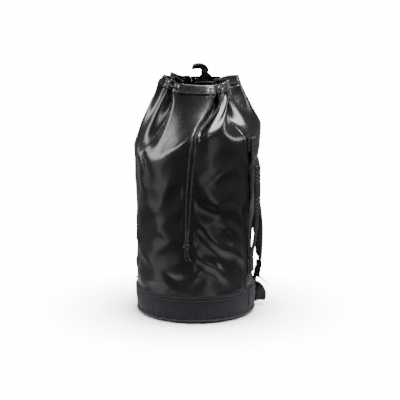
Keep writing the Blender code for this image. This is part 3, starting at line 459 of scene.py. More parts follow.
@dataclass
class Surface:
    """Grids of points gathered into one mesh, each a function of two parameters."""

    points: list = field(default_factory=list)
    faces: list = field(default_factory=list)
    uvs: list = field(default_factory=list)
    count: int = 0

    def grid(self, points: Array, uv: Array, wrap: bool = False, closed: bool = False, caps: bool = False) -> None:
        """Adds a grid.

        Args:
            points: (rows, columns, 3).
            uv: (rows, columns, 2), with one more column where it wraps and one more row where it is closed.
            wrap: whether the last column meets the first.
            closed: whether the last row meets the first.
            caps: whether the first and last rows are filled.
        """
        rows, columns = points.shape[:2]
        r, c = np.meshgrid(np.arange(rows - (not closed)), np.arange(columns - (not wrap)), indexing="ij")
        r1, c1 = (r + 1) % rows, (c + 1) % columns
        quads = np.stack((r * columns + c, r * columns + c1, r1 * columns + c1, r1 * columns + c), -1)
        corners = np.stack((uv[r, c], uv[r, c + 1], uv[r + 1, c + 1], uv[r + 1, c]), -2)
        quads = quads.reshape(-1, 4) + self.count
        corners = corners.reshape(-1, 4, 2)
        if wrap and (closed or caps) and self._volume(points, closed) < 0.0:
            quads, corners = quads[:, ::-1], corners[:, ::-1]
            flip = True
        else:
            flip = False
        self.faces += quads.tolist()
        self.uvs.append(corners.reshape(-1, 2))
        if caps:
            first = np.arange(columns)[::-1] + self.count
            last = np.arange(columns) + (rows - 1) * columns + self.count
            for ring, row in ((first, 0), (last, rows - 1)):
                ring = ring[::-1] if flip else ring
                self.faces.append(ring.tolist())
                self.uvs.append(uv[row][(ring - self.count) % columns])
        self.points.append(points.reshape(-1, 3))
        self.count += rows * columns

    @staticmethod
    def _volume(points: Array, closed: bool) -> float:
        """The signed volume inside a grid that wraps, seen from its own middle."""
        p = points - points.reshape(-1, 3).mean(0)
        ahead = np.roll(p, -1, 0) if closed else p[1:]
        here = p if closed else p[:-1]
        side, both = np.roll(here, -1, 1), np.roll(ahead, -1, 1)
        one = np.einsum("ijk,ijk->", here, np.cross(side, both))
        return float(one + np.einsum("ijk,ijk->", here, np.cross(both, ahead)))

    def shapes(self, points: Array, faces: Array) -> None:
        """Adds many copies of one small shape: points (copies, n, 3), and the shape's own quads."""
        copies, size = points.shape[:2]
        quads = faces[None] + (np.arange(copies) * size)[:, None, None] + self.count
        self.faces += quads.reshape(-1, faces.shape[1]).tolist()
        self.uvs.append(np.zeros((copies * faces.size, 2)))
        self.points.append(points.reshape(-1, 3))
        self.count += copies * size

    def piece(self, name: str) -> Piece:
        """The gathered mesh as one linked piece."""
        return mesh_piece(name, np.vstack(self.points), self.faces, np.vstack(self.uvs))


def tape_profile(width: Array, thickness: float, crown: float = 0.0) -> tuple[Array, Array]:
    """A flat tape's closed cross-section with round selvedges.

    Args:
        width: the tape's width at each station.
        thickness: its thickness.
        crown: how much thicker its middle is.

    Returns:
        Across and through offsets, (stations, 16) each.
    """
    t = thickness / 2.0
    inner = np.array((-1.0, -0.72, -0.36, 0.0, 0.36, 0.72, 1.0))
    half = np.asarray(width, float)[:, None] / 2.0
    top = inner * (half - t * 0.55)
    swell = t + crown * (1.0 - inner**2)
    across = np.hstack((top, half, top[:, ::-1], -half))
    through = np.concatenate((-swell, (0.0,), swell[::-1], (0.0,)))
    return across, np.broadcast_to(through, across.shape)


def tape(
    surface: Surface,
    middles: Array,
    sides: Array,
    widths: Array | float,
    thickness: float,
    spacing: float = 0.0022,
    crown: float = 0.0,
) -> None:
    """Adds a webbing tape whose flat section is carried along a route and faces square to it.

    Args:
        surface: what it is added to.
        middles: the route through the tape's middle.
        sides: the direction across the tape at each route point.
        widths: its width there.
        thickness: its thickness.
        spacing: how finely the route is read.
        crown: how much its middle swells.
    """
    middles = np.asarray(middles, float)
    widths = np.broadcast_to(np.asarray(widths, float), (len(middles),))
    table = np.hstack((middles, unit(np.asarray(sides, float)), widths[:, None]))
    read, run = march(middles, spacing, table)
    middle, side, width = read[:, :3], unit(read[:, 3:6]), read[:, 6]
    way = path_tangents(middle)
    side = unit(side - way * np.sum(side * way, -1, keepdims=True))
    face = np.cross(side, way)
    across, through = tape_profile(width, thickness, crown)
    points = middle[:, None] + side[:, None] * across[..., None] + face[:, None] * through[..., None]
    girth = np.concatenate((across[0], across[0, :1]))
    uv = pairs(girth[None], run[:, None])
    surface.grid(points, uv, wrap=True, caps=True)


def transport(points: Array) -> tuple[Array, Array, Array]:
    """A frame carried along a path without twist, turned a little at each step by the path's own bend."""
    way = path_tangents(points)
    start = np.cross(way[0], UP if abs(way[0][2]) < 0.9 else np.array((1.0, 0.0, 0.0)))
    normals = [unit(start)]
    for ahead in way[1:]:
        last = normals[-1]
        normals.append(unit(last - ahead * float(last @ ahead)))
    normal = np.array(normals)
    return way, normal, np.cross(way, normal)


def tube(surface: Surface, points: Array, radius: Array | float, sides: int = 12, round_ends: bool = True) -> None:
    """Adds a round cord along a path, with its UV turned once round it and metres along it."""
    way, normal, other = transport(points)
    radius = np.broadcast_to(np.asarray(radius, float), (len(points),)).copy()
    run = distances(points)
    if round_ends:
        size = radius[0]
        ease = np.array((1.0, 0.72, 0.38))
        lead = points[0] - way[0] * (size * np.array((0.72, 0.5, 0.2)))[:, None] * 0.6
        tail = points[-1] + way[-1] * (radius[-1] * np.array((0.2, 0.5, 0.72)))[:, None] * 0.6
        points = np.vstack((lead, points, tail))
        normal = np.vstack((np.repeat(normal[:1], 3, 0), normal, np.repeat(normal[-1:], 3, 0)))
        other = np.vstack((np.repeat(other[:1], 3, 0), other, np.repeat(other[-1:], 3, 0)))
        radius = np.concatenate((size * ease[::-1] * 0.95, radius, radius[-1] * ease * 0.95))
        run = np.concatenate(
            (run[0] - size * np.array((0.4, 0.3, 0.1)), run, run[-1] + size * np.array((0.1, 0.3, 0.4)))
        )
    turn = TAU * np.arange(sides) / sides
    ring = np.cos(turn)[None, :, None] * normal[:, None] + np.sin(turn)[None, :, None] * other[:, None]
    grid = points[:, None] + ring * radius[:, None, None]
    uv = pairs((np.arange(sides + 1) / sides)[None], run[:, None])
    surface.grid(grid, uv, wrap=True, caps=True)


def lathe(
    surface: Surface, profile: Array, segments: int, centre: Array, x_axis: Array, y_axis: Array, z_axis: Array
) -> None:
    """Adds a closed outline of (radius, height) turned about an axis."""
    turn = TAU * np.arange(segments) / segments
    radial = np.cos(turn)[:, None] * x_axis + np.sin(turn)[:, None] * y_axis
    points = centre + radial[:, None] * profile[None, :, :1] + z_axis * profile[None, :, 1:]
    ahead = np.concatenate((profile, profile[:1]))
    run = distances(ahead)
    girth = np.arange(segments + 1) / segments * TAU * float(profile[:, 0].max())
    uv = pairs(run[None], girth[:, None])
    surface.grid(points, uv, wrap=True, closed=True)


STITCH_RING = 6


def stitches(
    surface: Surface, line: Array, normals: Array, pitch: float = 0.0036, radius: float = 0.00042,
    arch: float = 0.00035
) -> None:
    """Adds a run of sewn stitches, each a small arched bead from one needle hole to the next.

    Args:
        surface: what they are added to.
        line: the seam's own polyline.
        normals: the cloth's outward direction at each of its points.
        pitch: from one needle hole to the next.
        radius: the thread's half thickness.
        arch: how far a stitch's middle stands off the cloth.
    """
    read, _ = march(line, pitch, np.hstack((line, normals)))
    point, normal = read[:, :3], unit(read[:, 3:])
    middle, chord = (point[1:] + point[:-1]) / 2.0, point[1:] - point[:-1]
    out = unit(normal[1:] + normal[:-1])
    side = unit(np.cross(chord, out))
    share = np.array((-0.44, -0.30, 0.0, 0.30, 0.44))
    thick = np.array((0.25, 0.85, 1.0, 0.85, 0.25)) * radius
    rise = np.array((-0.9, 0.1, 1.0, 0.1, -0.9)) * arch
    turn = TAU * np.arange(STITCH_RING) / STITCH_RING
    ring_side, ring_out = np.cos(turn), np.sin(turn)
    spine = middle[:, None] + chord[:, None] * share[:, None] + out[:, None] * rise[:, None]
    points = (
        spine[:, :, None]
        + side[:, None, None] * (thick[:, None] * ring_side)[..., None]
        + out[:, None, None] * (thick[:, None] * ring_out)[..., None]
    )
    r, c = np.meshgrid(np.arange(len(share) - 1), np.arange(STITCH_RING), indexing="ij")
    c1 = (c + 1) % STITCH_RING
    quads = np.stack(
        (r * STITCH_RING + c, (r + 1) * STITCH_RING + c, (r + 1) * STITCH_RING + c1, r * STITCH_RING + c1), -1
    )
    low = np.array(((0, 1, 2, 3), (0, 3, 4, 5)))
    high = low[:, ::-1] + (len(share) - 1) * STITCH_RING
    surface.shapes(points.reshape(len(middle), -1, 3), np.vstack((quads.reshape(-1, 4), low, high)))


def solidify(piece: Piece, thickness: float) -> None:
    """Gives a sheet its thickness, inwards where it is negative."""
    shell = piece.modifiers.new("thickness", "SOLIDIFY")
    shell.thickness = abs(thickness)
    shell.offset = 1.0 if thickness > 0 else -1.0
    shell.use_even_offset = False


# ---------------------------------------------------------------- shader maths


@dataclass(frozen=True)
class Value:
    """A number socket, or a plain number, that adds Math nodes as Python works it out."""

    graph: "Graph"
    socket: Socket

    def _math(self, operation: str, *others: "Value | float") -> "Value":
        """One Math node on this value and the others."""
        node = self.graph.node("ShaderNodeMath", {"operation": operation}, dict(enumerate((self, *others))))
        return Value(self.graph, node.outputs[0])

    def __add__(self, other: "Value | float") -> "Value":
        """This plus other."""
        return self._math("ADD", other)

    def __sub__(self, other: "Value | float") -> "Value":
        """This less other."""
        return self._math("SUBTRACT", other)

    def __rsub__(self, other: float) -> "Value":
        """Other less this."""
        return self._math("MULTIPLY_ADD", -1.0, other)

    def __mul__(self, other: "Value | float") -> "Value":
        """This times other."""
        return self._math("MULTIPLY", other)

    def __gt__(self, other: "Value | float") -> "Value":
        """1 where this is more than other."""
        return self._math("GREATER_THAN", other)

    __radd__ = __add__
    __rmul__ = __mul__

    def sine(self) -> "Value":
        """Its sine."""
        return self._math("SINE")

    def size(self) -> "Value":
        """Its size without its sign."""
        return self._math("ABSOLUTE")

    def power(self, other: float) -> "Value":
        """It raised to a power."""
        return self._math("POWER", other)

    def clamp(self, low: float, high: float) -> "Value":
        """It read from low to high as 0 to 1, and held there."""
        node = self.graph.node("ShaderNodeMapRange", {"clamp": True}, {0: self, 1: low, 2: high})
        return Value(self.graph, node.outputs[0])


@dataclass(frozen=True)
class Graph:
    """A material's node tree and its one shader."""

    material: bpy.types.Material

    def node(self, kind: str, settings: dict | None = None, inputs: dict | None = None) -> bpy.types.Node:
        """Any node, its settings made first and then its sockets' values or links.

        Args:
            kind: the node's type.
            settings: its own properties.
            inputs: by socket name or number, a number, a colour, a socket or a Value.

        Returns:
            The node.
        """
        tree = self.material.node_tree
        made = tree.nodes.new(kind)
        for key, value in (settings or {}).items():
            if key == "stops":
                ramp = made.color_ramp
                while len(ramp.elements) < len(value):
                    ramp.elements.new(0.5)
                for element, (place, colour) in zip(ramp.elements, value):
                    element.position = place
                    element.color = (*colour, 1.0)
            else:
                setattr(made, key, value)
        for key, value in (inputs or {}).items():
            target = made.inputs[key]
            if isinstance(value, Value):
                tree.links.new(value.socket, target)
            elif isinstance(value, Socket):
                tree.links.new(value, target)
            elif value is not None:
                target.default_value = value
        return made

    def uv(self) -> tuple[Value, Value]:
        """Metres across and along the cloth."""
        source = self.node("ShaderNodeUVMap", {"uv_map": "cloth"})
        split = self.node("ShaderNodeSeparateXYZ", None, {0: source.outputs[0]})
        return Value(self, split.outputs[0]), Value(self, split.outputs[1])

    def place(self, stretch: tuple[float, float, float] = (1.0, 1.0, 1.0)) -> Socket:
        """The object's own coordinates, stretched."""
        source = self.node("ShaderNodeTexCoord")
        moved = self.node("ShaderNodeMapping", None, {"Vector": source.outputs["Object"], "Scale": stretch})
        return moved.outputs[0]

    def noise(self, scale: float, detail: float = 3.0, rough: float = 0.5, at: Socket | None = None) -> Value:
        """Soft noise at this many cells to the metre, about 0.5."""
        at = self.place() if at is None else at
        node = self.node(
            "ShaderNodeTexNoise", None, {"Vector": at, "Scale": scale, "Detail": detail, "Roughness": rough}
        )
        return Value(self, node.outputs[0])

    def attribute(self, name: str) -> Value:
        """A number kept at each point of the piece."""
        node = self.node("ShaderNodeAttribute", {"attribute_name": name})
        return Value(self, node.outputs["Fac"])

    def blend(self, share: Value, low: tuple, high: tuple) -> Socket:
        """A colour from low to high by share."""
        node = self.node("ShaderNodeMix", {"data_type": "RGBA"}, {"Factor": share})
        colours = [s for s in node.inputs if s.type == "RGBA"]
        colours[0].default_value, colours[1].default_value = (*low, 1.0), (*high, 1.0)
        return next(s for s in node.outputs if s.type == "RGBA")

    def bump(self, height: Value, distance: float, strength: float = 1.0, base: Socket | None = None) -> Socket:
        """A normal raised by a height, on top of another normal."""
        inputs = {"Height": height, "Distance": distance, "Strength": strength}
        if base is not None:
            inputs["Normal"] = base
        return self.node("ShaderNodeBump", None, inputs).outputs[0]


def over_under(a: Value, b: Value) -> Value:
    """The upper of two crossing sets of threads: |a| or |b| by a checker of their signs."""
    over = (a * b) > 0.0
    return over * a.size() + (1.0 - over) * b.size()


def plain_weave(u: Value, v: Value, pitch: float) -> Value:
    """Threads along and across the cloth, over and under by turns."""
    return over_under((u * (math.pi / pitch)).sine(), (v * (math.pi / pitch)).sine())


@dataclass(frozen=True)
class Finish:
    """A finish: its name, its slot in the record, and what is the same all over it."""

    name: str
    slot: str
    roughness: float = 0.5
    metallic: float = 0.0
    sheen: float = 0.0
    sheen_roughness: float = 0.4
    coat: float = 0.0
    coat_roughness: float = 0.1
    specular: float = 0.5

    def made(self) -> bpy.types.Material:
        """The material, built once."""
        found = bpy.data.materials.get(self.name)
        if found:
            return found
        material = bpy.data.materials.new(self.name)
        material.use_nodes = True
        shader = material.node_tree.nodes["Principled BSDF"]
        plain = {
            "Roughness": self.roughness,
            "Metallic": self.metallic,
            "Sheen Weight": self.sheen,
            "Sheen Roughness": self.sheen_roughness,
            "Coat Weight": self.coat,
            "Coat Roughness": self.coat_roughness,
            "Specular IOR Level": self.specular,
        }
        for key, value in plain.items():
            shader.inputs[key].default_value = value
        graph = Graph(material)
        for key, socket in self.paint(graph).items():
            socket = socket.socket if isinstance(socket, Value) else socket
            material.node_tree.links.new(socket, shader.inputs[key])
        return material

    def paint(self, graph: Graph) -> dict:
        """What changes over the surface, by the shader's socket names."""
        raise NotImplementedError

    def dress(self, piece: Piece) -> None:
        """Gives a piece this finish."""
        piece.data.materials.clear()
        piece.data.materials.append(self.made())


@dataclass(frozen=True)
class CoatedFabric(Finish):
    """Glossy black coated cloth: its scrim shows faintly, and its folds are scuffed pale."""

    def paint(self, graph: Graph) -> dict:
        """Scrim and crumple in the normal, scuffs in the colour and the gloss."""
        u, v = graph.uv()
        crease = graph.attribute("crease")
        scuff = graph.noise(260.0, 4.0, 0.65, graph.place((1.0, 1.0, 0.35)))
        cloud = graph.noise(14.0, 3.0, 0.55)
        worn = (crease * 0.7 * scuff.clamp(0.35, 0.75)).clamp(0.05, 0.9)
        colour = graph.blend(
            (worn * 0.8 + cloud.clamp(0.3, 0.8) * 0.2), (0.0036, 0.0036, 0.0041), (0.018, 0.018, 0.020)
        )
        gloss = cloud.clamp(0.25, 0.75) * 0.07 + worn * 0.16 + scuff.clamp(0.4, 0.9) * 0.05 + 0.185
        crumple = graph.bump(graph.noise(38.0, 3.0, 0.5), 0.0009, 0.35)
        fine = graph.bump(graph.noise(300.0, 2.0, 0.5), 0.00006, 0.5, crumple)
        scrim = graph.bump(plain_weave(u, v, 0.0011), 0.00004, 0.7, fine)
        return {"Base Color": colour, "Roughness": gloss, "Normal": scrim}


@dataclass(frozen=True)
class WovenFabric(Finish):
    """Matt heavy woven cloth, blue-grey to black, its threads thick enough to see: paler on their crowns, with
    painted shade between them.
    """

    dark: tuple = (0.0042, 0.0044, 0.0066)
    pale: tuple = (0.0125, 0.0130, 0.0190)
    pitch: float = 0.0013

    def paint(self, graph: Graph) -> dict:
        """Threads in the normal, and in the colour as painted shade between them; dust and rubbing by noise."""
        u, v = graph.uv()
        weave = plain_weave(u, v, self.pitch)
        slub = graph.noise(700.0, 2.0, 0.5, graph.place((1.0, 1.0, 0.2)))
        cloud = graph.noise(22.0, 4.0, 0.6)
        # Colour: painted shade between the threads, paler on their crowns, mixed with slub and dust by noise.
        share = (weave * 0.55 + slub * 0.35 + cloud.clamp(0.3, 0.75) * 0.25).clamp(0.15, 1.1)
        colour = graph.blend(share, self.dark, self.pale)
        ripple = graph.bump(graph.noise(90.0, 3.0, 0.5), 0.0006, 0.5)
        threads = graph.bump(weave + slub * 0.5, 0.00028, 0.9, ripple)
        return {"Base Color": colour, "Roughness": cloud.clamp(0.2, 0.8) * 0.12 + 0.62, "Normal": threads}


@dataclass(frozen=True)
class Webbing(Finish):
    """Black webbing tape: ribs across it in pairs of chevrons, and tight selvedges."""

    dark: tuple = (0.0035, 0.0035, 0.0040)
    pale: tuple = (0.0165, 0.0165, 0.0180)

    def paint(self, graph: Graph) -> dict:
        """Ribs in the normal, and in the colour as painted shade in the grooves, paler where they stand; fuzz by
        noise.
        """
        u, v = graph.uv()
        lean = (u * (TAU / 0.0052)).sine().size() * 0.0011
        ribs = ((v + lean) * (TAU / 0.0019)).sine()
        cords = (u * (TAU / 0.0013)).sine()
        height = ribs * 0.5 + cords * 0.3 + 0.8
        fuzz = graph.noise(900.0, 2.0, 0.6)
        rub = graph.noise(40.0, 3.0, 0.6)
        # Colour: painted shade in the grooves between ribs and cords, paler where they stand, with fuzz and rubbing
        # by noise.
        share = (height * 0.45 + fuzz * 0.35 + rub.clamp(0.35, 0.8) * 0.25).clamp(0.25, 1.25)
        normal = graph.bump(height + fuzz * 0.4, 0.00030, 0.9)
        return {
            "Base Color": graph.blend(share, self.dark, self.pale), "Roughness": rub * 0.15 + 0.52,
            "Normal": normal
        }


@dataclass(frozen=True)
class BraidedCord(Finish):
    """Black braided cord: strands cross in diamonds round it."""

    strands: float = 8.0
    lay: float = 0.0062

    def paint(self, graph: Graph) -> dict:
        """Two opposed helices by turn and length, the upper one chosen by a checker; it shapes the normal, and the
        colour as painted shade between the strands.
        """
        turn, run = graph.uv()
        left = ((turn * self.strands + run * (self.strands / self.lay)) * math.pi).sine()
        right = ((turn * self.strands - run * (self.strands / self.lay)) * math.pi).sine()
        braid = over_under(left, right)
        fuzz = graph.noise(1400.0, 2.0, 0.6)
        # Colour: painted shade where the strands dip, paler on their crowns, with fuzz by noise.
        share = (braid * 0.7 + fuzz * 0.45).clamp(0.15, 1.15)
        normal = graph.bump(braid + fuzz * 0.25, 0.00035, 0.95)
        return {"Base Color": graph.blend(share, (0.003, 0.003, 0.0035), (0.017, 0.017, 0.018)), "Normal": normal}


@dataclass(frozen=True)
class PressedMetal(Finish):
    """Nickelled eyelet brass: bright, fine turning marks, dulled in cloudy patches."""

    def paint(self, graph: Graph) -> dict:
        """Cloudy tarnish in colour and gloss, hair scratches in the normal."""
        cloud = graph.noise(160.0, 4.0, 0.6)
        hair = graph.noise(2600.0, 2.0, 0.6, graph.place((0.25, 1.0, 1.0)))
        colour = graph.blend(cloud.clamp(0.35, 0.75), (0.12, 0.12, 0.125), (0.36, 0.355, 0.35))
        return {
            "Base Color": colour,
            "Roughness": cloud * 0.2 + hair * 0.12 + 0.12,
            "Normal": graph.bump(hair, 0.00004, 0.5),
        }


@dataclass(frozen=True)
class MouldedPlastic(Finish):
    """Black moulded rubbery plastic: fine spark grain, paler and rougher in handled patches."""

    def paint(self, graph: Graph) -> dict:
        """Grain in the normal, handling marks in colour and gloss."""
        grain = graph.noise(1900.0, 2.0, 0.6)
        handled = graph.noise(45.0, 3.0, 0.6).clamp(0.3, 0.75)
        colour = graph.blend(handled * 0.6 + grain * 0.3, (0.0085, 0.0085, 0.009), (0.024, 0.024, 0.025))
        return {
            "Base Color": colour, "Roughness": handled * 0.12 + grain * 0.1 + 0.30,
            "Normal": graph.bump(grain, 0.00009, 0.7)
        }


@dataclass(frozen=True)
class Thread(Finish):
    """Twisted black sewing thread with a slight shine."""

    def paint(self, graph: Graph) -> dict:
        """A fine twist by noise."""
        twist = graph.noise(2400.0, 2.0, 0.5)
        colour = graph.blend(twist.clamp(0.3, 0.8), (0.014, 0.014, 0.016), (0.055, 0.055, 0.060))
        return {"Base Color": colour, "Normal": graph.bump(twist, 0.00008, 0.8)}


@dataclass(frozen=True)
class Board(Finish):
    """The stiffener board's grey hammered face."""

    def paint(self, graph: Graph) -> dict:
        """Flecks in colour, hammering in the normal."""
        fleck = graph.noise(500.0, 4.0, 0.7)
        colour = graph.blend(fleck.clamp(0.4, 0.7), (0.035, 0.035, 0.037), (0.075, 0.075, 0.078))
        return {"Base Color": colour, "Normal": graph.bump(graph.noise(300.0, 2.0), 0.0002, 0.6)}


COATED = CoatedFabric(
    "coated fabric", "coated_fabric", roughness=0.24, coat=0.12, coat_roughness=0.16, specular=0.42
)
WOVEN = WovenFabric(
    "woven base fabric", "base_fabric", roughness=0.78, sheen=0.05, sheen_roughness=0.45, specular=0.2
)
# A paler copy of the woven base fabric in the same slot: its paler colours are a painted highlight along the piping
# bead and the pad bindings.
HIGHLIT_PIPING = WovenFabric(
    "piping fabric with painted highlight", "base_fabric", roughness=0.5, sheen=0.08, specular=0.4, dark=(0.010, 0.010, 0.013),
    pale=(0.034, 0.035, 0.042), pitch=0.0009
)
WEBBED = Webbing("webbing", "webbing", roughness=0.6, sheen=0.05, sheen_roughness=0.4, specular=0.3)
BRAIDED = BraidedCord("braided cord", "cord", roughness=0.45, sheen=0.04, specular=0.35)
METAL = PressedMetal("eyelet metal", "eyelet_metal", roughness=0.25, metallic=1.0)
PLASTIC = MouldedPlastic("moulded plastic", "moulded_plastic", roughness=0.38, specular=0.45)
THREAD = Thread("sewing thread", "webbing", roughness=0.45, sheen=0.15)
BOARD = Board("stiffener board", "board", roughness=0.55)


class Body(Enum):
    """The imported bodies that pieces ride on."""

    BAG = "bag"
    HAUL_LOOP = "haul_loop"
    SIDE_HANDLE = "side_handle"
    STRAP_RIGHT = "strap_right"
    STRAP_LEFT = "strap_left"


def settle(piece: Piece, finish: Finish, body: Body, *nodes: str) -> Piece:
    """Dresses a piece, rides it on its body and lets it stand for its nodes."""
    finish.dress(piece)
    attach(piece, body.value)
    if nodes:
        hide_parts(*nodes)
    LOG.info("%s rides on %s", piece.name, body.value)
    return piece


# ---------------------------------------------------------------- the cloth tube


@dataclass
class ClothTube:
    """The coated tube as one sheet of cloth on a grid of its azimuth and its height.

    Its lower rows and its eyelets are held where the frame has them. The rest starts from the wall's surface
    with each gather folded in or out to its flat width, and is then relaxed: each step draws every pair of
    neighbours to their flat distance, resists bending, and leads it softly back to the wall.
    """

    columns: int = 288
    wall_rows: int = 104
    slope_rows: int = 52
    hem_rows: int = 8
    steps: int = 420
    sharp: float = 0.75
    quick_steps: int = 60
    inertia: float = 0.86
    sag: float = 0.000006
    shear: float = 0.18
    soft: float = 0.12
    firm: float = 0.45
    calming: float = 0.75
    calming_passes: int = 16
    points: Array = None
    height: Array = None

    def stations(self) -> Array:
        """The rows' stations: sparse in the base seam, even above it."""
        wall = np.concatenate(((0.0, 0.05), np.linspace(0.10, 1.0, self.wall_rows - 2)))
        slope = np.linspace(1.0, 2.0, self.slope_rows + 1)[1:]
        return np.concatenate((wall, slope, np.linspace(2.0, 3.0, self.hem_rows + 1)[1:]))

    def folded(self, azimuths: Array, stations: Array) -> Array:
        """The wall's surface with each gather folded to its flat width.

        Between two eyelets' lines, a row that is shorter than its cloth is moved out or in by A sin(pi t),
        and A is found by halving until the row has its cloth's length.
        """
        base = wall_point(azimuths[None], stations[:, None], self.sharp)
        per = self.columns // EYELET_COUNT
        start = base.reshape(len(stations), EYELET_COUNT, per, 3)
        after = np.concatenate((start, np.roll(start[:, :, :1], -1, 1)), 2)
        flat = per // 6
        share = np.clip((np.arange(per + 1) - flat) / (per - 2 * flat), 0.0, 1.0)
        bump = np.sin(math.pi * share) ** 1.3
        first = int(round((EYELET_SEATS[0, 0] + 180.0) / 360.0 * EYELET_COUNT))
        sides = np.roll(FOLD_SIDES, first)
        out = unit(SEAT_OUT + np.roll(SEAT_OUT, -1, 0))
        out = np.roll(out, first, 0)[None] * np.ones((len(stations), 1, 1))
        level = outward((np.arange(EYELET_COUNT) + 0.5) * 30.0 - 180.0)[None]
        mix = smooth_step((stations - 1.0) / 0.9)[:, None, None]
        way = unit(out * mix + level * (1.0 - mix)) * sides[None, :, None]
        cloth = EYELET_PITCH * smooth_step((stations - 0.80) / 0.5) + TAU * TUBE_RADIUS / EYELET_COUNT * (
            1.0 - smooth_step((stations - 0.80) / 0.5)
        )
        low, high = np.zeros(way.shape[:2]), np.full(way.shape[:2], 0.034)
        for _ in range(18):
            middle = (low + high) / 2.0
            shape = after + way[:, :, None] * (middle[..., None] * bump)[..., None]
            length = np.linalg.norm(np.diff(shape, axis=2), axis=-1).sum(-1)
            short = length < cloth[:, None]
            low, high = np.where(short, middle, low), np.where(short, high, middle)
        reach = low * smooth_step((stations - 0.85) / 0.35)[:, None]
        shape = after + way[:, :, None] * (reach[..., None] * bump)[..., None]
        return shape[:, :, :per].reshape(base.shape)

    def hold(self, azimuths: Array, stations: Array, base: Array) -> Array:
        """How firmly each point is led back to where the frame has it: 1 is held still."""
        weight = np.full(base.shape[:2], 0.012)
        per = self.columns // EYELET_COUNT
        from_eyelet = np.abs((np.arange(self.columns) + per // 2) % per - per // 2)
        flats = (from_eyelet <= per // 6)[None] & (stations > 1.97)[:, None]
        z = base[..., 2]
        weight = np.maximum(weight, 0.10 * (1.0 - smooth_step((z - 0.09) / 0.10)))
        ring = np.exp(-(((stations - 1.0) / 0.10) ** 2))[:, None]
        weight = np.maximum(weight, 0.035 * ring)
        for middle, level, half_turn, half_height in (
            (HANDLE_AZIMUTH, 0.125, 9.0, 0.030), (HANDLE_AZIMUTH, 0.432, 9.0, 0.026), (180.0, 0.412, 25.0, 0.028),
            (5.0, 0.300, 5.0, 0.14), (WING_AZIMUTH, 0.06, 10.0, 0.05), (-WING_AZIMUTH, 0.06, 10.0, 0.05),
        ):
            turn = np.abs(turn_from(azimuths, middle)) / half_turn
            rise = np.abs(z - level) / half_height
            near = np.exp(-np.maximum(turn[None] - 1.0, 0.0) ** 2 * 6.0 - np.maximum(rise - 1.0, 0.0) ** 2 * 6.0)
            weight = np.maximum(weight, 0.5 * near * (stations < 1.2)[:, None])
        weight[flats] = 1.0
        weight[z < BAND_TOP_Z + 0.004] = 1.0
        return weight

    def relax(self) -> None:
        """Works out the cloth's points."""
        azimuths = 360.0 * np.arange(self.columns) / self.columns - 180.0
        stations = self.stations()
        base = wall_point(azimuths[None], stations[:, None])
        target = self.folded(azimuths, stations)
        weight = self.hold(azimuths, stations, base)[..., None]
        pinned = smooth_step((weight - 0.15) / 0.3) * (stations < 1.3)[:, None, None]
        target = target * (1.0 - pinned) + base * pinned
        slack = 1.0 + 0.012 * smooth_step((stations[1:] - 0.55) / 0.45) * (stations[1:] < 2.0)
        rise = np.linalg.norm(np.diff(base, axis=0), axis=-1)
        rise = (rise * 0.75 + rise.mean(1, keepdims=True) * 0.25) * slack[:, None]
        rise[stations[1:] > 2.0] = HEM_HEIGHT / self.hem_rows
        round_wall = TAU * TUBE_RADIUS * 1.004
        girth = round_wall + (EYELET_PITCH * EYELET_COUNT - round_wall) * smooth_step((stations - 0.8) / 0.5)
        even = (girth / self.columns)[:, None]
        own = np.linalg.norm(np.roll(target, -1, 1) - target, axis=-1)
        share = 0.14 + 0.86 * smooth_step((stations - 1.93) / 0.06)[:, None]
        level = own * (1.0 - share) + even * share
        slants = [np.linalg.norm(np.roll(target[1:], -step, 1) - target[:-1], axis=-1) for step in (1, -1)]
        plain = np.hypot((level[1:] + level[:-1]) / 2.0, rise)
        slant = [own_slant * 0.7 + plain * 0.3 for own_slant in slants]
        rng = np.random.default_rng(7)
        ripple = rng.normal(size=(9, 4))
        z = base[..., 2]
        seed = sum(
            math.copysign(0.0004, r[0]) * np.sin(
                np.radians(azimuths)[None] * round(9 + 5 * abs(r[1])) + z * (40 + 30 * r[2]) + 3 * r[3]
            )
            for r in ripple
        )
        points = target + outward(azimuths)[None] * seed[..., None] * (1.0 - weight)
        free = 1.0 - (weight >= 0.999)
        last = points.copy()
        stiff = np.where((stations > 1.99)[:, None], self.firm, self.soft)
        for step in range(self.steps):
            ahead = points + (points - last) * self.inertia * free
            last, points = points, ahead
            points = points - UP * self.sag * free
            points = self._pull(points, level, free)
            points = self._rise(points, rise, free)
            points = self._slant(points, slant, free, self.shear)
            points = self._bend(points, stiff, free)
            lead = weight * (0.5 if step < self.steps * 0.7 else 0.35)
            points = points + (target - points) * lead * free
        calm_rows = self.calming * smooth_step((1.97 - stations) / 0.12)[:, None] * np.ones_like(stiff)
        for _ in range(self.calming_passes):
            points = self._bend(points, calm_rows, free)
        self.points = np.where(free > 0, points, target)
        calm = np.clip(1.0 - weight[..., 0] * 2.2, 0.0, 1.0)
        creased = self.wrinkles(azimuths, self.points[..., 2]) * calm
        self.points = self.points + self.normals() * creased[..., None]
        self.height = np.concatenate((np.zeros((1, self.columns)), np.cumsum(rise, 0)))

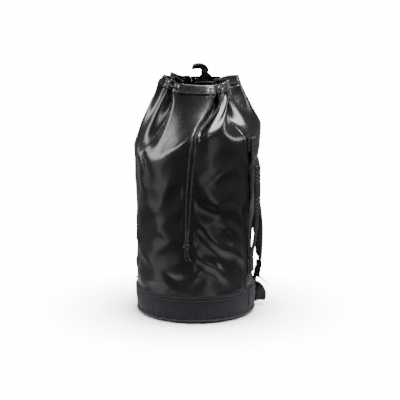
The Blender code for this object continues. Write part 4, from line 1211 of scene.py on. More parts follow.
    def wrinkles(self, azimuths: Array, heights: Array) -> Array:
        """How far the wall's slack stands out or in.

        Each crease is a Gaussian ridge across its line, faded along it. Between them the cloth wanders by a
        folded sum of waves, 1 - |sum|, which leaves soft creases where the sum changes sign.
        """
        scale = TAU * TUBE_RADIUS / 360.0
        rng = np.random.default_rng(23)
        behind = [
            (rng.uniform(75, 300), rng.uniform(0.10, 0.40), rng.uniform(-1.0, 1.0) * 60.0, rng.uniform(0.02, 0.055),
             rng.uniform(0.005, 0.010), rng.choice((-1.0, 1.0)) * rng.uniform(0.0008, 0.0020))
            for _ in range(22)
        ]
        total = np.zeros_like(heights)
        for middle, level, lean, reach, width, rise in (*CREASES, *behind):
            width, rise = width * CREASE_SPREAD, rise * CREASE_DEPTH
            across = turn_from(azimuths, middle)[None] * scale
            up = heights - level
            turn = math.radians(lean)
            run, off = across * math.cos(turn) + up * math.sin(turn), up * math.cos(turn) - across * math.sin(turn)
            ridge = np.exp(-((off / width) ** 2)) - 0.55 * np.exp(-(((off + 1.7 * width) / (1.3 * width)) ** 2))
            total += rise * ridge * np.exp(-((run / reach) ** 2))
        theta = np.radians(azimuths)[None]
        wander = sum(
            rng.uniform(0.5, 1.0) * np.cos(
                theta * int(rng.integers(2, 11)) * rng.choice((-1, 1))
                + heights * rng.uniform(18, 70) + rng.uniform(0, TAU)
            )
            for _ in range(9)
        )
        above = smooth_step((heights - 0.40) / 0.06)
        return total * (1.0 - above) + 0.0006 * (0.9 - np.sqrt(wander**2 + 0.02)) * (1.0 - 0.7 * above)

    def _pull(self, points: Array, rest: Array, free: Array) -> Array:
        """Draws neighbours round the tube to their flat distance, even pairs and then odd ones."""
        for odd in (0, 1):
            one = points[:, odd::2]
            two = np.roll(points, -1, 1)[:, odd::2]
            gap = two - one
            size = np.linalg.norm(gap, axis=-1, keepdims=True)
            move = gap * ((size - rest[:, odd::2][..., None]) / np.maximum(size, 1e-9)) * 0.5
            shift = np.zeros_like(points)
            shift[:, odd::2] = move
            points = points + (shift - np.roll(shift, 1, 1)) * free
        return points

    def _rise(self, points: Array, rest: Array, free: Array) -> Array:
        """Draws neighbours up the tube to their flat distance, even pairs and then odd ones."""
        for odd in (0, 1):
            gap = points[odd + 1 :: 2] - points[odd:-1:2][: len(points[odd + 1 :: 2])]
            size = np.linalg.norm(gap, axis=-1, keepdims=True)
            want = rest[odd::2][: len(gap)][..., None]
            move = gap * ((size - want) / np.maximum(size, 1e-9)) * 0.5
            shift = np.zeros_like(points)
            shift[odd:-1:2][: len(gap)] += move
            shift[odd + 1 :: 2] -= move
            points = points + shift * free
        return points

    def _slant(self, points: Array, rest: list[Array], free: Array, rate: float) -> Array:
        """Resists shear: draws both diagonals of each cell to their flat length."""
        for step, flat in zip((1, -1), rest):
            two = np.roll(points[1:], -step, 1)
            gap = two - points[:-1]
            size = np.linalg.norm(gap, axis=-1, keepdims=True)
            move = gap * ((size - flat[..., None]) / np.maximum(size, 1e-9)) * rate
            shift = np.zeros_like(points)
            shift[:-1] += move
            shift[1:] -= np.roll(move, step, 1)
            points = points + shift * free
        return points

    def _bend(self, points: Array, stiff: Array, free: Array) -> Array:
        """Resists bending: each point is led part of the way to the middle of its neighbours."""
        round_middle = (np.roll(points, 1, 1) + np.roll(points, -1, 1)) / 2.0
        up_middle = points.copy()
        up_middle[1:-1] = (points[2:] + points[:-2]) / 2.0
        pull = (round_middle - points) * stiff[..., None] * 0.5 + (up_middle - points) * stiff[..., None] * 0.5
        return points + pull * free

    def normals(self) -> Array:
        """The cloth's outward direction at each point."""
        side = np.roll(self.points, -1, 1) - np.roll(self.points, 1, 1)
        rise = np.gradient(self.points, axis=0)
        return unit(np.cross(side, rise))

    def crease(self) -> Array:
        """How sharply the cloth turns at each point, 0 to 1, where it stands proud."""
        normal = self.normals()
        around = (np.roll(self.points, 1, 1) + np.roll(self.points, -1, 1)) / 2.0 - self.points
        risen = np.zeros_like(self.points)
        risen[1:-1] = (self.points[2:] + self.points[:-2]) / 2.0 - self.points[1:-1]
        proud = -np.sum((around + risen) * normal, -1) / 0.0016
        proud = np.clip(proud, 0.0, 1.0)
        for _ in range(3):
            proud = (2.0 * proud + np.roll(proud, 1, 1) + np.roll(proud, -1, 1)) / 4.0
        return proud


def cloth_uv(tube_cloth: ClothTube, rows: slice) -> Array:
    """Metres round and up the cloth at each grid point, with the first column again at the end."""
    across = np.arange(tube_cloth.columns + 1) * (EYELET_PITCH * EYELET_COUNT / tube_cloth.columns)
    height = tube_cloth.height[rows]
    height = np.hstack((height, height[:, :1]))
    return pairs(across[None], height)


def add_attribute(piece: Piece, name: str, values: Array) -> None:
    """Keeps a number at each point of a piece."""
    layer = piece.data.attributes.new(name, "FLOAT", "POINT")
    layer.data.foreach_set("value", np.ascontiguousarray(values, np.float32).ravel())


@dataclass
class Mouth:
    """The tube's wall, its doubled hem, their stitching and the pressed eyelets."""

    cloth: ClothTube
    wall_thickness: float = 0.0009
    lap_rows: int = 2

    def build(self) -> None:
        """Builds and settles each piece."""
        self.wall()
        self.hem()
        self.eyelets()
        self.lap_seam()

    def wall(self) -> None:
        """The coated wall, up to a lap behind the hem."""
        cloth = self.cloth
        last = cloth.wall_rows + cloth.slope_rows + self.lap_rows
        surface = Surface()
        surface.grid(cloth.points[:last], cloth_uv(cloth, slice(0, last)), wrap=True)
        piece = surface.piece("tube_wall")
        add_attribute(piece, "crease", cloth.crease()[:last])
        solidify(piece, -self.wall_thickness)
        settle(piece, COATED, Body.BAG, "body_shell")

    def hem_rows(self) -> tuple[int, Array, Array]:
        """The hem's first row, and how far its two faces stand off the cloth in each column."""
        cloth = self.cloth
        per = cloth.columns // EYELET_COUNT
        from_eyelet = np.abs((np.arange(cloth.columns) + per // 2) % per - per // 2)
        flat = 1.0 - smooth_step((from_eyelet - per / 6.0) / 3.0)
        inner = 0.0008 + (HEM_LIFT - 0.0008) * flat
        outer = 0.0026 + (HEM_LIFT + HEM_THICKNESS - 0.0026) * flat
        return cloth.wall_rows + cloth.slope_rows - 1, inner, outer

    def hem(self) -> None:
        """The hem as a closed band: up its outer face, over its rolled edge and down its inner face."""
        cloth = self.cloth
        first, inner, outer = self.hem_rows()
        points, normal = cloth.points[first:], cloth.normals()[first:]
        upward = unit(points[-1] - points[-2])
        middle = points[-1] + normal[-1] * ((inner + outer) / 2.0)[:, None]
        half = (outer - inner) / 2.0
        out_face = points + normal * outer[None, :, None]
        in_face = points + normal * inner[None, :, None]
        turn = np.radians((35.0, 90.0, 145.0))[:, None, None]
        roll = middle[None] + (normal[-1][None] * np.cos(turn) + upward[None] * np.sin(turn)) * half[None, :, None]
        under = points[0] + normal[0] * ((inner + outer) / 2.0)[:, None] - unit(points[1] - points[0]) * 0.0007
        rows = np.concatenate((out_face, roll, in_face[::-1], under[None]))
        up, foot = cloth.height[first:], cloth.height[first : first + 1]
        height = np.concatenate((up, up[-1:] + np.array(((0.001,), (0.002,), (0.003,))), up[::-1], foot, foot))
        height = np.hstack((height, height[:, :1]))
        across = np.arange(cloth.columns + 1) * (EYELET_PITCH * EYELET_COUNT / cloth.columns)
        surface = Surface()
        surface.grid(rows, pairs(across[None], height), wrap=True, closed=True)
        piece = surface.piece("mouth_hem_band")
        crease = cloth.crease()[first:]
        edge = np.full((3, cloth.columns), 0.45)
        add_attribute(piece, "crease", np.concatenate((crease, edge, crease[::-1], edge[:1] * 0.4)))
        settle(piece, COATED, Body.BAG, "mouth_hem")
        seams = Surface()
        for share in (0.09, 0.24, 0.90):
            place = share * (len(points) - 1)
            low, part = int(place), place - int(place)
            line = out_face[low] * (1 - part) + out_face[low + 1] * part
            face = normal[low]
            closed = np.vstack((line, line[:1]))
            stitches(seams, closed, np.vstack((face, face[:1])), 0.0037)
        settle(seams.piece("hem_stitching"), THREAD, Body.BAG)

    def eyelets(self) -> None:
        """Twelve two-part eyelets: a rolled flange and barrel from outside, a toothless washer inside."""
        bore, wall = EYELET_BORE_RADIUS, 0.0004
        face = HEM_THICKNESS / 2.0 + GAP
        turn = np.radians(np.linspace(0.0, 180.0, 9))
        middle, half = (bore + EYELET_FLANGE_RADIUS) / 2.0, (EYELET_FLANGE_RADIUS - bore) / 2.0
        dome = np.stack((middle + np.cos(turn) * half, face + np.sin(turn) * 0.00115), -1)
        barrel = np.vstack(
            (
                dome,
                (
                    (bore, -face - 0.0006), (bore + 0.0001, -face - 0.0008), (bore + wall, -face - 0.0008),
                    (bore + wall, face)
                )
            )
        )
        inner_middle = (bore + wall + GAP + EYELET_FLANGE_RADIUS) / 2.0
        inner_half = (EYELET_FLANGE_RADIUS - bore - wall - GAP) / 2.0
        washer = np.stack((inner_middle + np.cos(-turn) * inner_half, -face - np.sin(turn) * 0.0009), -1)
        fronts, backs = Surface(), Surface()
        for index in range(EYELET_COUNT):
            run, up, out = SEAT_RUN[index], SEAT_UP[index], SEAT_OUT[index]
            centre = SEAT_POINT[index] - up * EYELET_DROP + out * (HEM_LIFT + HEM_THICKNESS / 2.0)
            lathe(fronts, barrel, 40, centre, run, up, out)
            lathe(backs, washer, 40, centre, run, up, out)
        numbers = [f"{k + 1:02d}" for k in range(EYELET_COUNT)]
        settle(fronts.piece("eyelet_rings"), METAL, Body.BAG, *(f"eyelet_{n}" for n in numbers))
        settle(backs.piece("eyelet_backs"), METAL, Body.BAG, *(f"eyelet_washer_{n}" for n in numbers))

    def lap_seam(self) -> None:
        """The welded lap where the tube's cloth meets itself, up the right side."""
        cloth = self.cloth
        column = int(round((68.0 + 180.0) / 360.0 * cloth.columns))
        rows = slice(3, cloth.wall_rows + cloth.slope_rows - 3)
        normal = cloth.normals()
        width = np.arange(0, 5)
        lift = np.array((0.0003, 0.0011, 0.0011, 0.0011, 0.0003))
        strip = cloth.points[rows, column + width[0] : column + width[-1] + 1]
        strip = strip + normal[rows, column + width[0] : column + width[-1] + 1] * lift[None, :, None]
        surface = Surface()
        run = cloth.height[rows, column][:, None]
        uv = pairs((width * 0.0033)[None], run)
        surface.grid(strip, uv)
        piece = surface.piece("lap_seam")
        add_attribute(piece, "crease", np.broadcast_to(np.array((0.8, 0.5, 0.0, 0.1, 0.3)), strip.shape[:2]))
        solidify(piece, -0.0006)
        settle(piece, COATED, Body.BAG)


# ---------------------------------------------------------------- the base


@dataclass
class Base:
    """The woven band, its puckered seams, the piping, the round bottom and its board."""

    columns: int = 360
    rows: int = 26
    top_pucker: float = 0.00055
    foot_pucker: float = 0.0008
    pucker_count: int = 67

    def build(self) -> None:
        """Builds and settles each piece."""
        self.band()
        self.bottom()
        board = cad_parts["base_stiffener"]
        board.data.materials.clear()
        board.data.materials.append(BOARD.made())

    def band(self) -> None:
        """The band: the wall's own surface lifted, rippled by its seams' gathers and rolled at its top edge."""
        azimuths = 360.0 * np.arange(self.columns) / self.columns - 180.0
        heights = np.concatenate(
            (
                np.linspace(WALL_FOOT_Z, BAND_TOP_Z - 0.002, self.rows),
                (BAND_TOP_Z - 0.0012, BAND_TOP_Z - 0.0004, BAND_TOP_Z, BAND_TOP_Z + 0.0001)
            )
        )
        turn = np.radians(azimuths)[None]
        z = heights[:, None]
        wobble = 0.7 * np.sin(turn * 5 + 1.0) + 0.5 * np.sin(turn * 11 + 2.0)
        high = np.exp(-((BAND_TOP_Z - z) / 0.012) ** 2) * self.top_pucker * np.sin(
            turn * self.pucker_count + wobble * 2
        )
        low = np.exp(-((z - WALL_FOOT_Z) / 0.012) ** 2) * self.foot_pucker * np.sin(
            turn * (self.pucker_count - 8) + wobble * 3
        )
        soft = 0.0006 * np.sin(turn * 7 + z * 60) * np.sin(z / BAND_TOP_Z * math.pi)
        lift = GAP + 0.0001 + BAND_THICKNESS + high + low + soft
        lift = lift - np.array([0.0] * self.rows + [0.0002, 0.0006, 0.0012, 0.0017])[:, None]
        hem = 0.0007 * np.exp(-((z - (BAND_TOP_Z - 0.010)) / 0.0011) ** 2)
        points = off_wall(azimuths[None], z + 0.0 * turn, np.maximum(lift - hem, 0.0003))
        across = np.arange(self.columns + 1) * (TAU * TUBE_RADIUS / self.columns)
        surface = Surface()
        surface.grid(points, pairs(across[None], z), wrap=True)
        piece = surface.piece("woven_band")
        solidify(piece, -0.0006)
        settle(piece, WOVEN, Body.BAG, "base_band")
        seams = Surface()
        normal = outward(azimuths)
        for height in (BAND_TOP_Z - 0.0035, BAND_TOP_Z - 0.0100):
            row = int(np.argmin(np.abs(heights - height)))
            line = points[row] + normal * 0.0003
            stitches(seams, np.vstack((line, line[:1])), np.vstack((normal, normal[:1])), 0.0040)
        settle(seams.piece("band_stitching"), THREAD, Body.BAG)
        flap = Surface()
        turns = np.linspace(73.0, 77.5, 6)
        levels = np.linspace(0.0125, BAND_TOP_Z - 0.0005, 20)
        sheet = off_wall(
            turns[None], levels[:, None],
            0.0 * turns[None] + np.array((0.0016, 0.0028, 0.0030, 0.0030, 0.0028, 0.0016))[None]
        )
        flap.grid(sheet, pairs((turns / 360.0 * TAU * TUBE_RADIUS)[None], levels[:, None]))
        piece = flap.piece("band_lap")
        solidify(piece, -0.0006)
        settle(piece, WOVEN, Body.BAG)

    def bottom(self) -> None:
        """The piping bead and the dished round bottom, both turned about the middle."""
        seam_z = BASE_RISE + GAP + PIPING_RADIUS
        turn = TAU * np.arange(14) / 14
        ring = np.stack(
            (BASE_SEAM_RADIUS + PIPING_RADIUS * np.cos(turn), seam_z + PIPING_RADIUS * np.sin(turn)), -1
        )
        bead = Surface()
        x_axis, y_axis, zero = np.array((1.0, 0, 0)), np.array((0, 1.0, 0)), np.zeros(3)
        lathe(bead, ring, 240, zero, x_axis, y_axis, UP)
        # The piping's paler colours are a painted highlight.
        settle(bead.piece("base_piping_bead"), HIGHLIT_PIPING, Body.BAG, "base_piping")
        rim = BASE_SEAM_RADIUS
        low = [
            (0.004, 0.0), (0.05, 0.0), (0.09, 0.0), (BASE_FLAT_RADIUS, 0.0), (rim - 0.0140, 0.0004),
            (rim - 0.0085, 0.0012)
        ]
        low += [(rim - 0.0052, 0.0022), (rim - 0.0030, 0.0034), (rim - 0.0014, 0.0049), (rim - 0.0005, BASE_RISE)]
        high = [
            (rim - 0.0025, BASE_RISE), (rim - 0.0050, 0.0046), (rim - 0.0095, 0.0031),
            (BASE_FLAT_RADIUS, 0.0020)
        ]
        high += [(0.06, 0.0020), (0.004, 0.0020)]
        dish = Surface()
        profile = np.array(low + high)
        turn = TAU * np.arange(144) / 144
        radial = np.stack((np.cos(turn), np.sin(turn), np.zeros_like(turn)), -1)
        points = profile[:, None, :1] * radial[None] + UP * profile[:, None, 1:]
        uv_points = np.concatenate((points, points[:, :1]), 1)[..., :2]
        dish.grid(points, uv_points, wrap=True, caps=True)
        settle(dish.piece("round_bottom"), WOVEN, Body.BAG, "base_disc")


# ---------------------------------------------------------------- the drawcord


@dataclass
class Drawcord:
    """One cord in and out round the hem, and its two ends down the front to an overhand knot."""

    cloth: ClothTube
    radius: float = CORD_DIAMETER / 2.0

    def build(self) -> None:
        """Builds and settles each length."""
        rim = self.rim_route()
        surface = Surface()
        tube(surface, rim, self.radius, 12)
        settle(surface.piece("cord_round_rim"), BRAIDED, Body.BAG, "drawcord_rim")
        knot = self.knot()
        for name, index, offset in (("left", 5, -0.0026), ("right", 6, 0.0026)):
            path = self.end_route(name, index, offset)
            surface = Surface()
            tube(surface, path, self.radius, 12)
            piece = surface.piece(f"cord_end_{name}")
            settle(piece, BRAIDED, Body.BAG, f"drawcord_end_{name}")
            tail = self.tail_route(offset)
            surface = Surface()
            tube(surface, tail, np.linspace(1.0, 1.06, len(tail)) * self.radius, 12)
            piece = surface.piece(f"cord_tail_{name}")
            settle(piece, BRAIDED, Body.BAG, f"drawcord_tail_{name}")

    @staticmethod
    def local(index: int, run: float, up: float, out: float) -> Array:
        """A point given in an eyelet's own frame."""
        index %= EYELET_COUNT
        centre = SEAT_POINT[index] - SEAT_UP[index] * EYELET_DROP + SEAT_OUT[index] * (
            HEM_LIFT + HEM_THICKNESS / 2.0
        )
        return centre + SEAT_RUN[index] * run + SEAT_UP[index] * up + SEAT_OUT[index] * out

    def rim_route(self) -> Array:
        """In at the right front eyelet and round, crossing the hem at each eyelet."""
        steep, level = (0.0032, 0.0043), (0.0085, 0.0071)
        points = [self.local(6, 0, 0, -0.0002), self.local(6, 0, 0, -0.0016)]
        for step in range(EYELET_COUNT - 1):
            here, side = 6 + step, -1.0 if step % 2 == 0 else 1.0
            off = level[1] * side if side < 0 else level[1] + 0.0012
            points.append(self.local(here, steep[0], 0, steep[1] * side))
            points.append(self.local(here, level[0], 0, off))
            points.append(self.local(here + 1, -level[0], 0, off))
            points.append(self.local(here + 1, -steep[0], 0, steep[1] * side))
            if step < EYELET_COUNT - 2:
                points.append(self.local(here + 1, 0, 0, 0))
        points += [self.local(5, 0, 0, -0.0016), self.local(5, 0, 0, -0.0002)]
        return route(np.array(points), 0.0016)

    def rest_on_cloth(self, path: Array, clearance: float) -> Array:
        """Lifts a path's points to at least this far off the cloth, by its nearest grid point's normal."""
        cloud = self.cloth.points.reshape(-1, 3)
        normal = self.cloth.normals().reshape(-1, 3)
        near = np.argmin(np.linalg.norm(path[:, None] - cloud[None], axis=-1), axis=1)
        off = np.sum((path - cloud[near]) * normal[near], -1)
        lift = np.clip(clearance - off, -0.004, 0.012)
        kernel = np.array((0.08, 0.24, 0.36, 0.24, 0.08))
        lift = np.convolve(np.pad(lift, 2, "edge"), kernel, "valid")
        fade = smooth_step(np.arange(len(path)) / 5.0) * smooth_step((len(path) - 1 - np.arange(len(path))) / 5.0)
        return path + normal[near] * (lift * fade)[:, None]

    def knot_centre(self) -> Array:
        """The knot's middle."""
        return outward(KNOT_AZIMUTH) * (TUBE_RADIUS + KNOT_RADIUS + 0.0012) + UP * KNOT_Z

    def end_route(self, name: str, index: int, offset: float) -> Array:
        """Out of an eyelet, down over the slope and the wall, and into the knot."""
        lift = CORD_DIAMETER / 2 + 0.0010
        slopes = {
            "left": (
                (1, 1.86, 0.0062), (2, 1.72, lift), (4, 1.5, lift), (6.5, 1.25, lift), (8, 1.04, lift + 0.0012)
            ),
            "right": (
                (27, 1.86, 0.0062), (24, 1.72, lift), (18, 1.5, lift), (14, 1.25, lift),
                (12, 1.04, lift + 0.0014)
            ),
        }
        drops = {
            "left": (
                (7.2, 0.444, lift + 0.0008), (5.6, 0.425, lift), (4.0, 0.36, lift), (3.4, 0.30, lift),
                (3.2, 0.25, lift)
            ),
            "right": (
                (11.6, 0.446, lift + 0.0010), (10.4, 0.425, lift), (8.2, 0.36, lift), (6.8, 0.30, lift),
                (5.6, 0.25, lift)
            ),
        }
        leaving = ((0, 0.0002), (0, 0.0016), (-0.0030, 0.0044), (-0.0085, 0.0068))
        start = [self.local(index, 0, up, out) for up, out in leaving]
        slope, drop = np.array(slopes[name]), np.array(drops[name])
        over = on_wall(slope[:, 0], slope[:, 1], slope[:, 2])
        down = off_wall(drop[:, 0], drop[:, 1], drop[:, 2])
        top = self.knot_centre() + UP * (KNOT_HEIGHT / 2 + GAP)
        side = along(KNOT_AZIMUTH) * offset
        end = np.array((top + side + UP * 0.014, top + side, top + side * 0.6 - UP * 0.004))
        path = route(np.vstack((np.array(start), over, down, end)), 0.0030)
        return self.rest_on_cloth(path, CORD_DIAMETER / 2 + 0.0004)

    def tail_route(self, offset: float) -> Array:
        """A short free end below the knot."""
        foot = self.knot_centre() - UP * (KNOT_HEIGHT / 2 + GAP)
        side = along(KNOT_AZIMUTH) * offset
        points = (
            foot + UP * 0.004 + side * 0.6, foot + side, foot + side * 1.3 - UP * TAIL_LENGTH * 0.45,
            foot + side * 2.0 + along(KNOT_AZIMUTH) * 0.004 - UP * TAIL_LENGTH
        )
        return route(np.array(points), 0.0016)

    def knot(self) -> Piece:
        """An overhand knot: the trefoil (sin t + 2 sin 2t, cos t - 2 cos 2t, -1.35 sin 3t), drawn tight."""
        turn = np.linspace(0.0, TAU, 121)[:-1]
        flat = np.stack(
            (
                np.sin(turn) + 2 * np.sin(2 * turn), np.cos(turn) - 2 * np.cos(2 * turn),
                -1.35 * np.sin(3 * turn)
            ),
            -1
        )
        scale = np.array((0.00185, 0.0026, 0.0021))
        side, out = along(KNOT_AZIMUTH), outward(KNOT_AZIMUTH)
        centre = self.knot_centre()
        closed = np.vstack((flat, flat[:1])) * scale
        path = closed[:, :1] * side + closed[:, 1:2] * UP + closed[:, 2:] * out
        radial = unit(np.stack((closed[:, 0], closed[:, 1], 0 * closed[:, 0]), -1))
        spread = radial[:, :1] * side + radial[:, 1:2] * UP
        surface = Surface()
        for offset in (-0.0011, 0.0012):
            tube(surface, centre + path + spread * offset, self.radius * 0.97, 12, round_ends=False)
        return settle(surface.piece("cord_knot"), BRAIDED, Body.BAG, "drawcord_knot")


# ---------------------------------------------------------------- patches and sewn webbing


def patch_sheet(
    name: str, azimuths: Array, heights: Array, lift: float, thickness: float, finish: Finish, body: Body,
    nodes: tuple,
    inset: float = 0.003,
) -> Piece:
    """A sewn patch on the upright wall: a crowned sheet with turned-down edges and a seam inside them.

    Args:
        name: the piece's name.
        azimuths: its columns.
        heights: its rows.
        lift: how far its back stands off the wall.
        thickness: its thickness.
        finish: its cloth.
        body: what it rides on.
        nodes: what it stands for.
        inset: how far the seam is from the edge.

    Returns:
        The patch.
    """
    a, z = np.meshgrid(azimuths, heights)
    edge = np.minimum.reduce(
        (
            np.abs(a - azimuths[0]) / 360.0 * TAU * TUBE_RADIUS,
            np.abs(a - azimuths[-1]) / 360.0 * TAU * TUBE_RADIUS,
            np.abs(z - heights[0]), np.abs(z - heights[-1]),
        )
    )
    roll = thickness * 0.6 * (1.0 - smooth_step(edge / 0.0012))
    sunk = 0.00025 * np.exp(-(((edge - inset) / 0.0008) ** 2))
    points = off_wall(a, z, lift + thickness - roll - sunk)
    surface = Surface()
    run = np.stack((a / 360.0 * TAU * TUBE_RADIUS, z), -1)
    surface.grid(points, run)
    piece = surface.piece(name)
    if np.sum(np.cross(points[0, 1] - points[0, 0], points[1, 0] - points[0, 0]) * outward(a[0, 0])) < 0:
        piece.data.flip_normals()
    solidify(piece, -thickness * 0.7)
    settle(piece, finish, body, *nodes)
    turn_in = inset / (TAU * TUBE_RADIUS) * 360.0 * np.sign(azimuths[-1] - azimuths[0])
    box = np.array(
        (
            (azimuths[0] + turn_in, heights[0] + inset), (azimuths[-1] - turn_in, heights[0] + inset),
            (azimuths[-1] - turn_in, heights[-1] - inset), (azimuths[0] + turn_in, heights[-1] - inset),
            (azimuths[0] + turn_in, heights[0] + inset),
        )
    )
    sew_on_wall(f"{name}_stitching", box, lift + thickness, body)
    return piece


def sew_on_wall(name: str, corners: Array, lift: float, body: Body, pitch: float = 0.0032) -> Piece:
    """A run of stitches on the upright wall through corners of (azimuth, height)."""
    flat = corners * np.array((TAU * TUBE_RADIUS / 360.0, 1.0))
    read, _ = march(flat, 0.0016)
    azimuth = read[:, 0] * 360.0 / (TAU * TUBE_RADIUS)
    line = off_wall(azimuth, read[:, 1], lift)
    seams = Surface()
    stitches(seams, line, outward(azimuth), pitch)
    return settle(seams.piece(name), THREAD, body)


def box_stitch(middle: float, low: float, high: float, half_turn: float) -> Array:
    """A box with a cross in it, as one sewn run of (azimuth, height)."""
    left, right = middle - half_turn, middle + half_turn
    return np.array(
        (
            (left, low), (right, low), (right, high), (left, high), (left, low), (right, high), (left, high),
            (right, low)
        )
    )


@dataclass
class SideHandle:
    """The carry handle: sewn patches, doubled webbing ends, the hanging webbing and a moulded grip."""

    grip_length: float = 0.1260
    grip_width: float = 0.0280
    grip_thickness: float = 0.0110
    grip_middle: float = 0.3170
    stand_off: float = 0.0150

    def build(self) -> None:
        """Builds and settles each piece."""
        spans = {"top": (HANDLE_TOP_Z, HANDLE_TOP_Z + 0.034), "foot": (HANDLE_FOOT_Z - 0.034, HANDLE_FOOT_Z)}
        half_turn = math.degrees(WEBBING_WIDTH / 2 / TUBE_RADIUS)
        for name, (low, high) in spans.items():
            patch_low, patch_high = (low - 0.006, high) if name == "foot" else (low, high + 0.002)
            turns = HANDLE_AZIMUTH + np.linspace(-1.55, 1.55, 26) * half_turn
            patch_sheet(
                f"handle_patch_{name}", turns, np.linspace(patch_low, patch_high, 24), PATCH_LIFT, PATCH_THICKNESS,
                WOVEN, Body.BAG, (f"side_handle_patch_{name}",), inset=0.0026,
            )
            levels = np.linspace(low, high, 16)
            surface = Surface()
            middle = off_wall(HANDLE_AZIMUTH, levels, SEWN_LIFT + WEBBING_THICKNESS)
            tape(
                surface, middle, np.repeat(along(HANDLE_AZIMUTH)[None], len(levels), 0), WEBBING_WIDTH,
                WEBBING_THICKNESS * 2
            )
            settle(surface.piece(f"handle_end_{name}"), WEBBED, Body.BAG, f"side_handle_end_{name}")
            box = box_stitch(HANDLE_AZIMUTH, low + 0.004, high - 0.004, half_turn * 0.78)
            sew_on_wall(
                f"handle_end_{name}_stitching", box, SEWN_LIFT + WEBBING_THICKNESS * 2 + 0.0001, Body.BAG,
                0.0028
            )
        self.hanging()
        self.grip()

    def hanging(self) -> None:
        """The webbing from foot to top, bowed off the wall through the grip."""
        lift = SEWN_LIFT + WEBBING_THICKNESS * 1.5
        out = outward(HANDLE_AZIMUTH)
        top = off_wall(HANDLE_AZIMUTH, HANDLE_TOP_Z, lift) - UP * 0.0008
        foot = off_wall(HANDLE_AZIMUTH, HANDLE_FOOT_Z, lift) + UP * 0.0008
        reach = out * (TUBE_RADIUS + self.stand_off)
        half = self.grip_length / 2
        points = (
            foot, foot + UP * 0.012 + out * 0.0010, reach * 0.975 + UP * 0.205,
            reach + UP * (self.grip_middle - half - 0.006),
            reach + UP * self.grip_middle, reach + UP * (self.grip_middle + half + 0.006),
            top - UP * 0.012 + out * 0.0015, top,
        )
        line = route(np.array(points), 0.006)
        surface = Surface()
        tape(surface, line, np.repeat(along(HANDLE_AZIMUTH)[None], len(line), 0), WEBBING_WIDTH, WEBBING_THICKNESS)
        settle(surface.piece("handle_webbing"), WEBBED, Body.SIDE_HANDLE, "side_handle_webbing")

    def grip(self) -> None:
        """The grip: a superellipse section round the webbing, ribbed at both ends and swelled in its middle."""
        half = self.grip_length / 2
        along_grip = np.linspace(-half, half, 190)
        from_end = half - np.abs(along_grip)
        ends = np.clip(from_end / 0.0032, 0.0, 1.0)
        rounded = np.sqrt(1.0 - (1.0 - ends) ** 2) * 0.22 + 0.78
        in_ribs = smooth_step((from_end - 0.0052) / 0.002) * (1.0 - smooth_step((from_end - 0.0450) / 0.002))
        rib = (0.5 + 0.5 * np.cos((from_end - 0.0052) / 0.0094 * TAU)) ** 3
        groove = 0.00135 * in_ribs * rib
        swell = 0.0005 * np.cos(np.clip(along_grip / 0.018, -1, 1) * math.pi / 2)
        turn = TAU * np.arange(44) / 44
        power = 2.0 / 3.2
        cx = np.sign(np.cos(turn)) * np.abs(np.cos(turn)) ** power
        cy = np.sign(np.sin(turn)) * np.abs(np.sin(turn)) ** power
        wide = (self.grip_width / 2 * rounded - groove)[:, None] * cx
        deep = (self.grip_thickness / 2 * rounded - groove + swell)[:, None] * cy
        side, out = along(HANDLE_AZIMUTH), outward(HANDLE_AZIMUTH)
        reach = out * (TUBE_RADIUS + self.stand_off)
        middle = reach + UP * (self.grip_middle + along_grip)[:, None]
        points = middle[:, None] + side * wide[..., None] + out * deep[..., None]
        inner_w, inner_t = WEBBING_WIDTH / 2 + 0.0006, WEBBING_THICKNESS / 2 + 0.0006
        flat_x = np.clip(cx * 1.2, -1, 1) * inner_w
        flat_y = np.clip(cy * 1.2, -1, 1) * inner_t
        mouths = []
        for place in (half - 0.0006, -half + 0.0006):
            centre = reach + UP * (self.grip_middle + place)
            mouths.append(centre + side * flat_x[:, None] + out * flat_y[:, None])
        loops = np.concatenate((points, np.array(mouths)))
        girth = np.arange(45) / 44 * 0.07
        run = np.concatenate((along_grip, (half + 0.003, half + 0.1), (half + 0.103,)))
        surface = Surface()
        surface.grid(loops, pairs(girth[None], run[:, None]), wrap=True, closed=True)
        settle(surface.piece("handle_grip"), PLASTIC, Body.SIDE_HANDLE, "side_handle_grip")


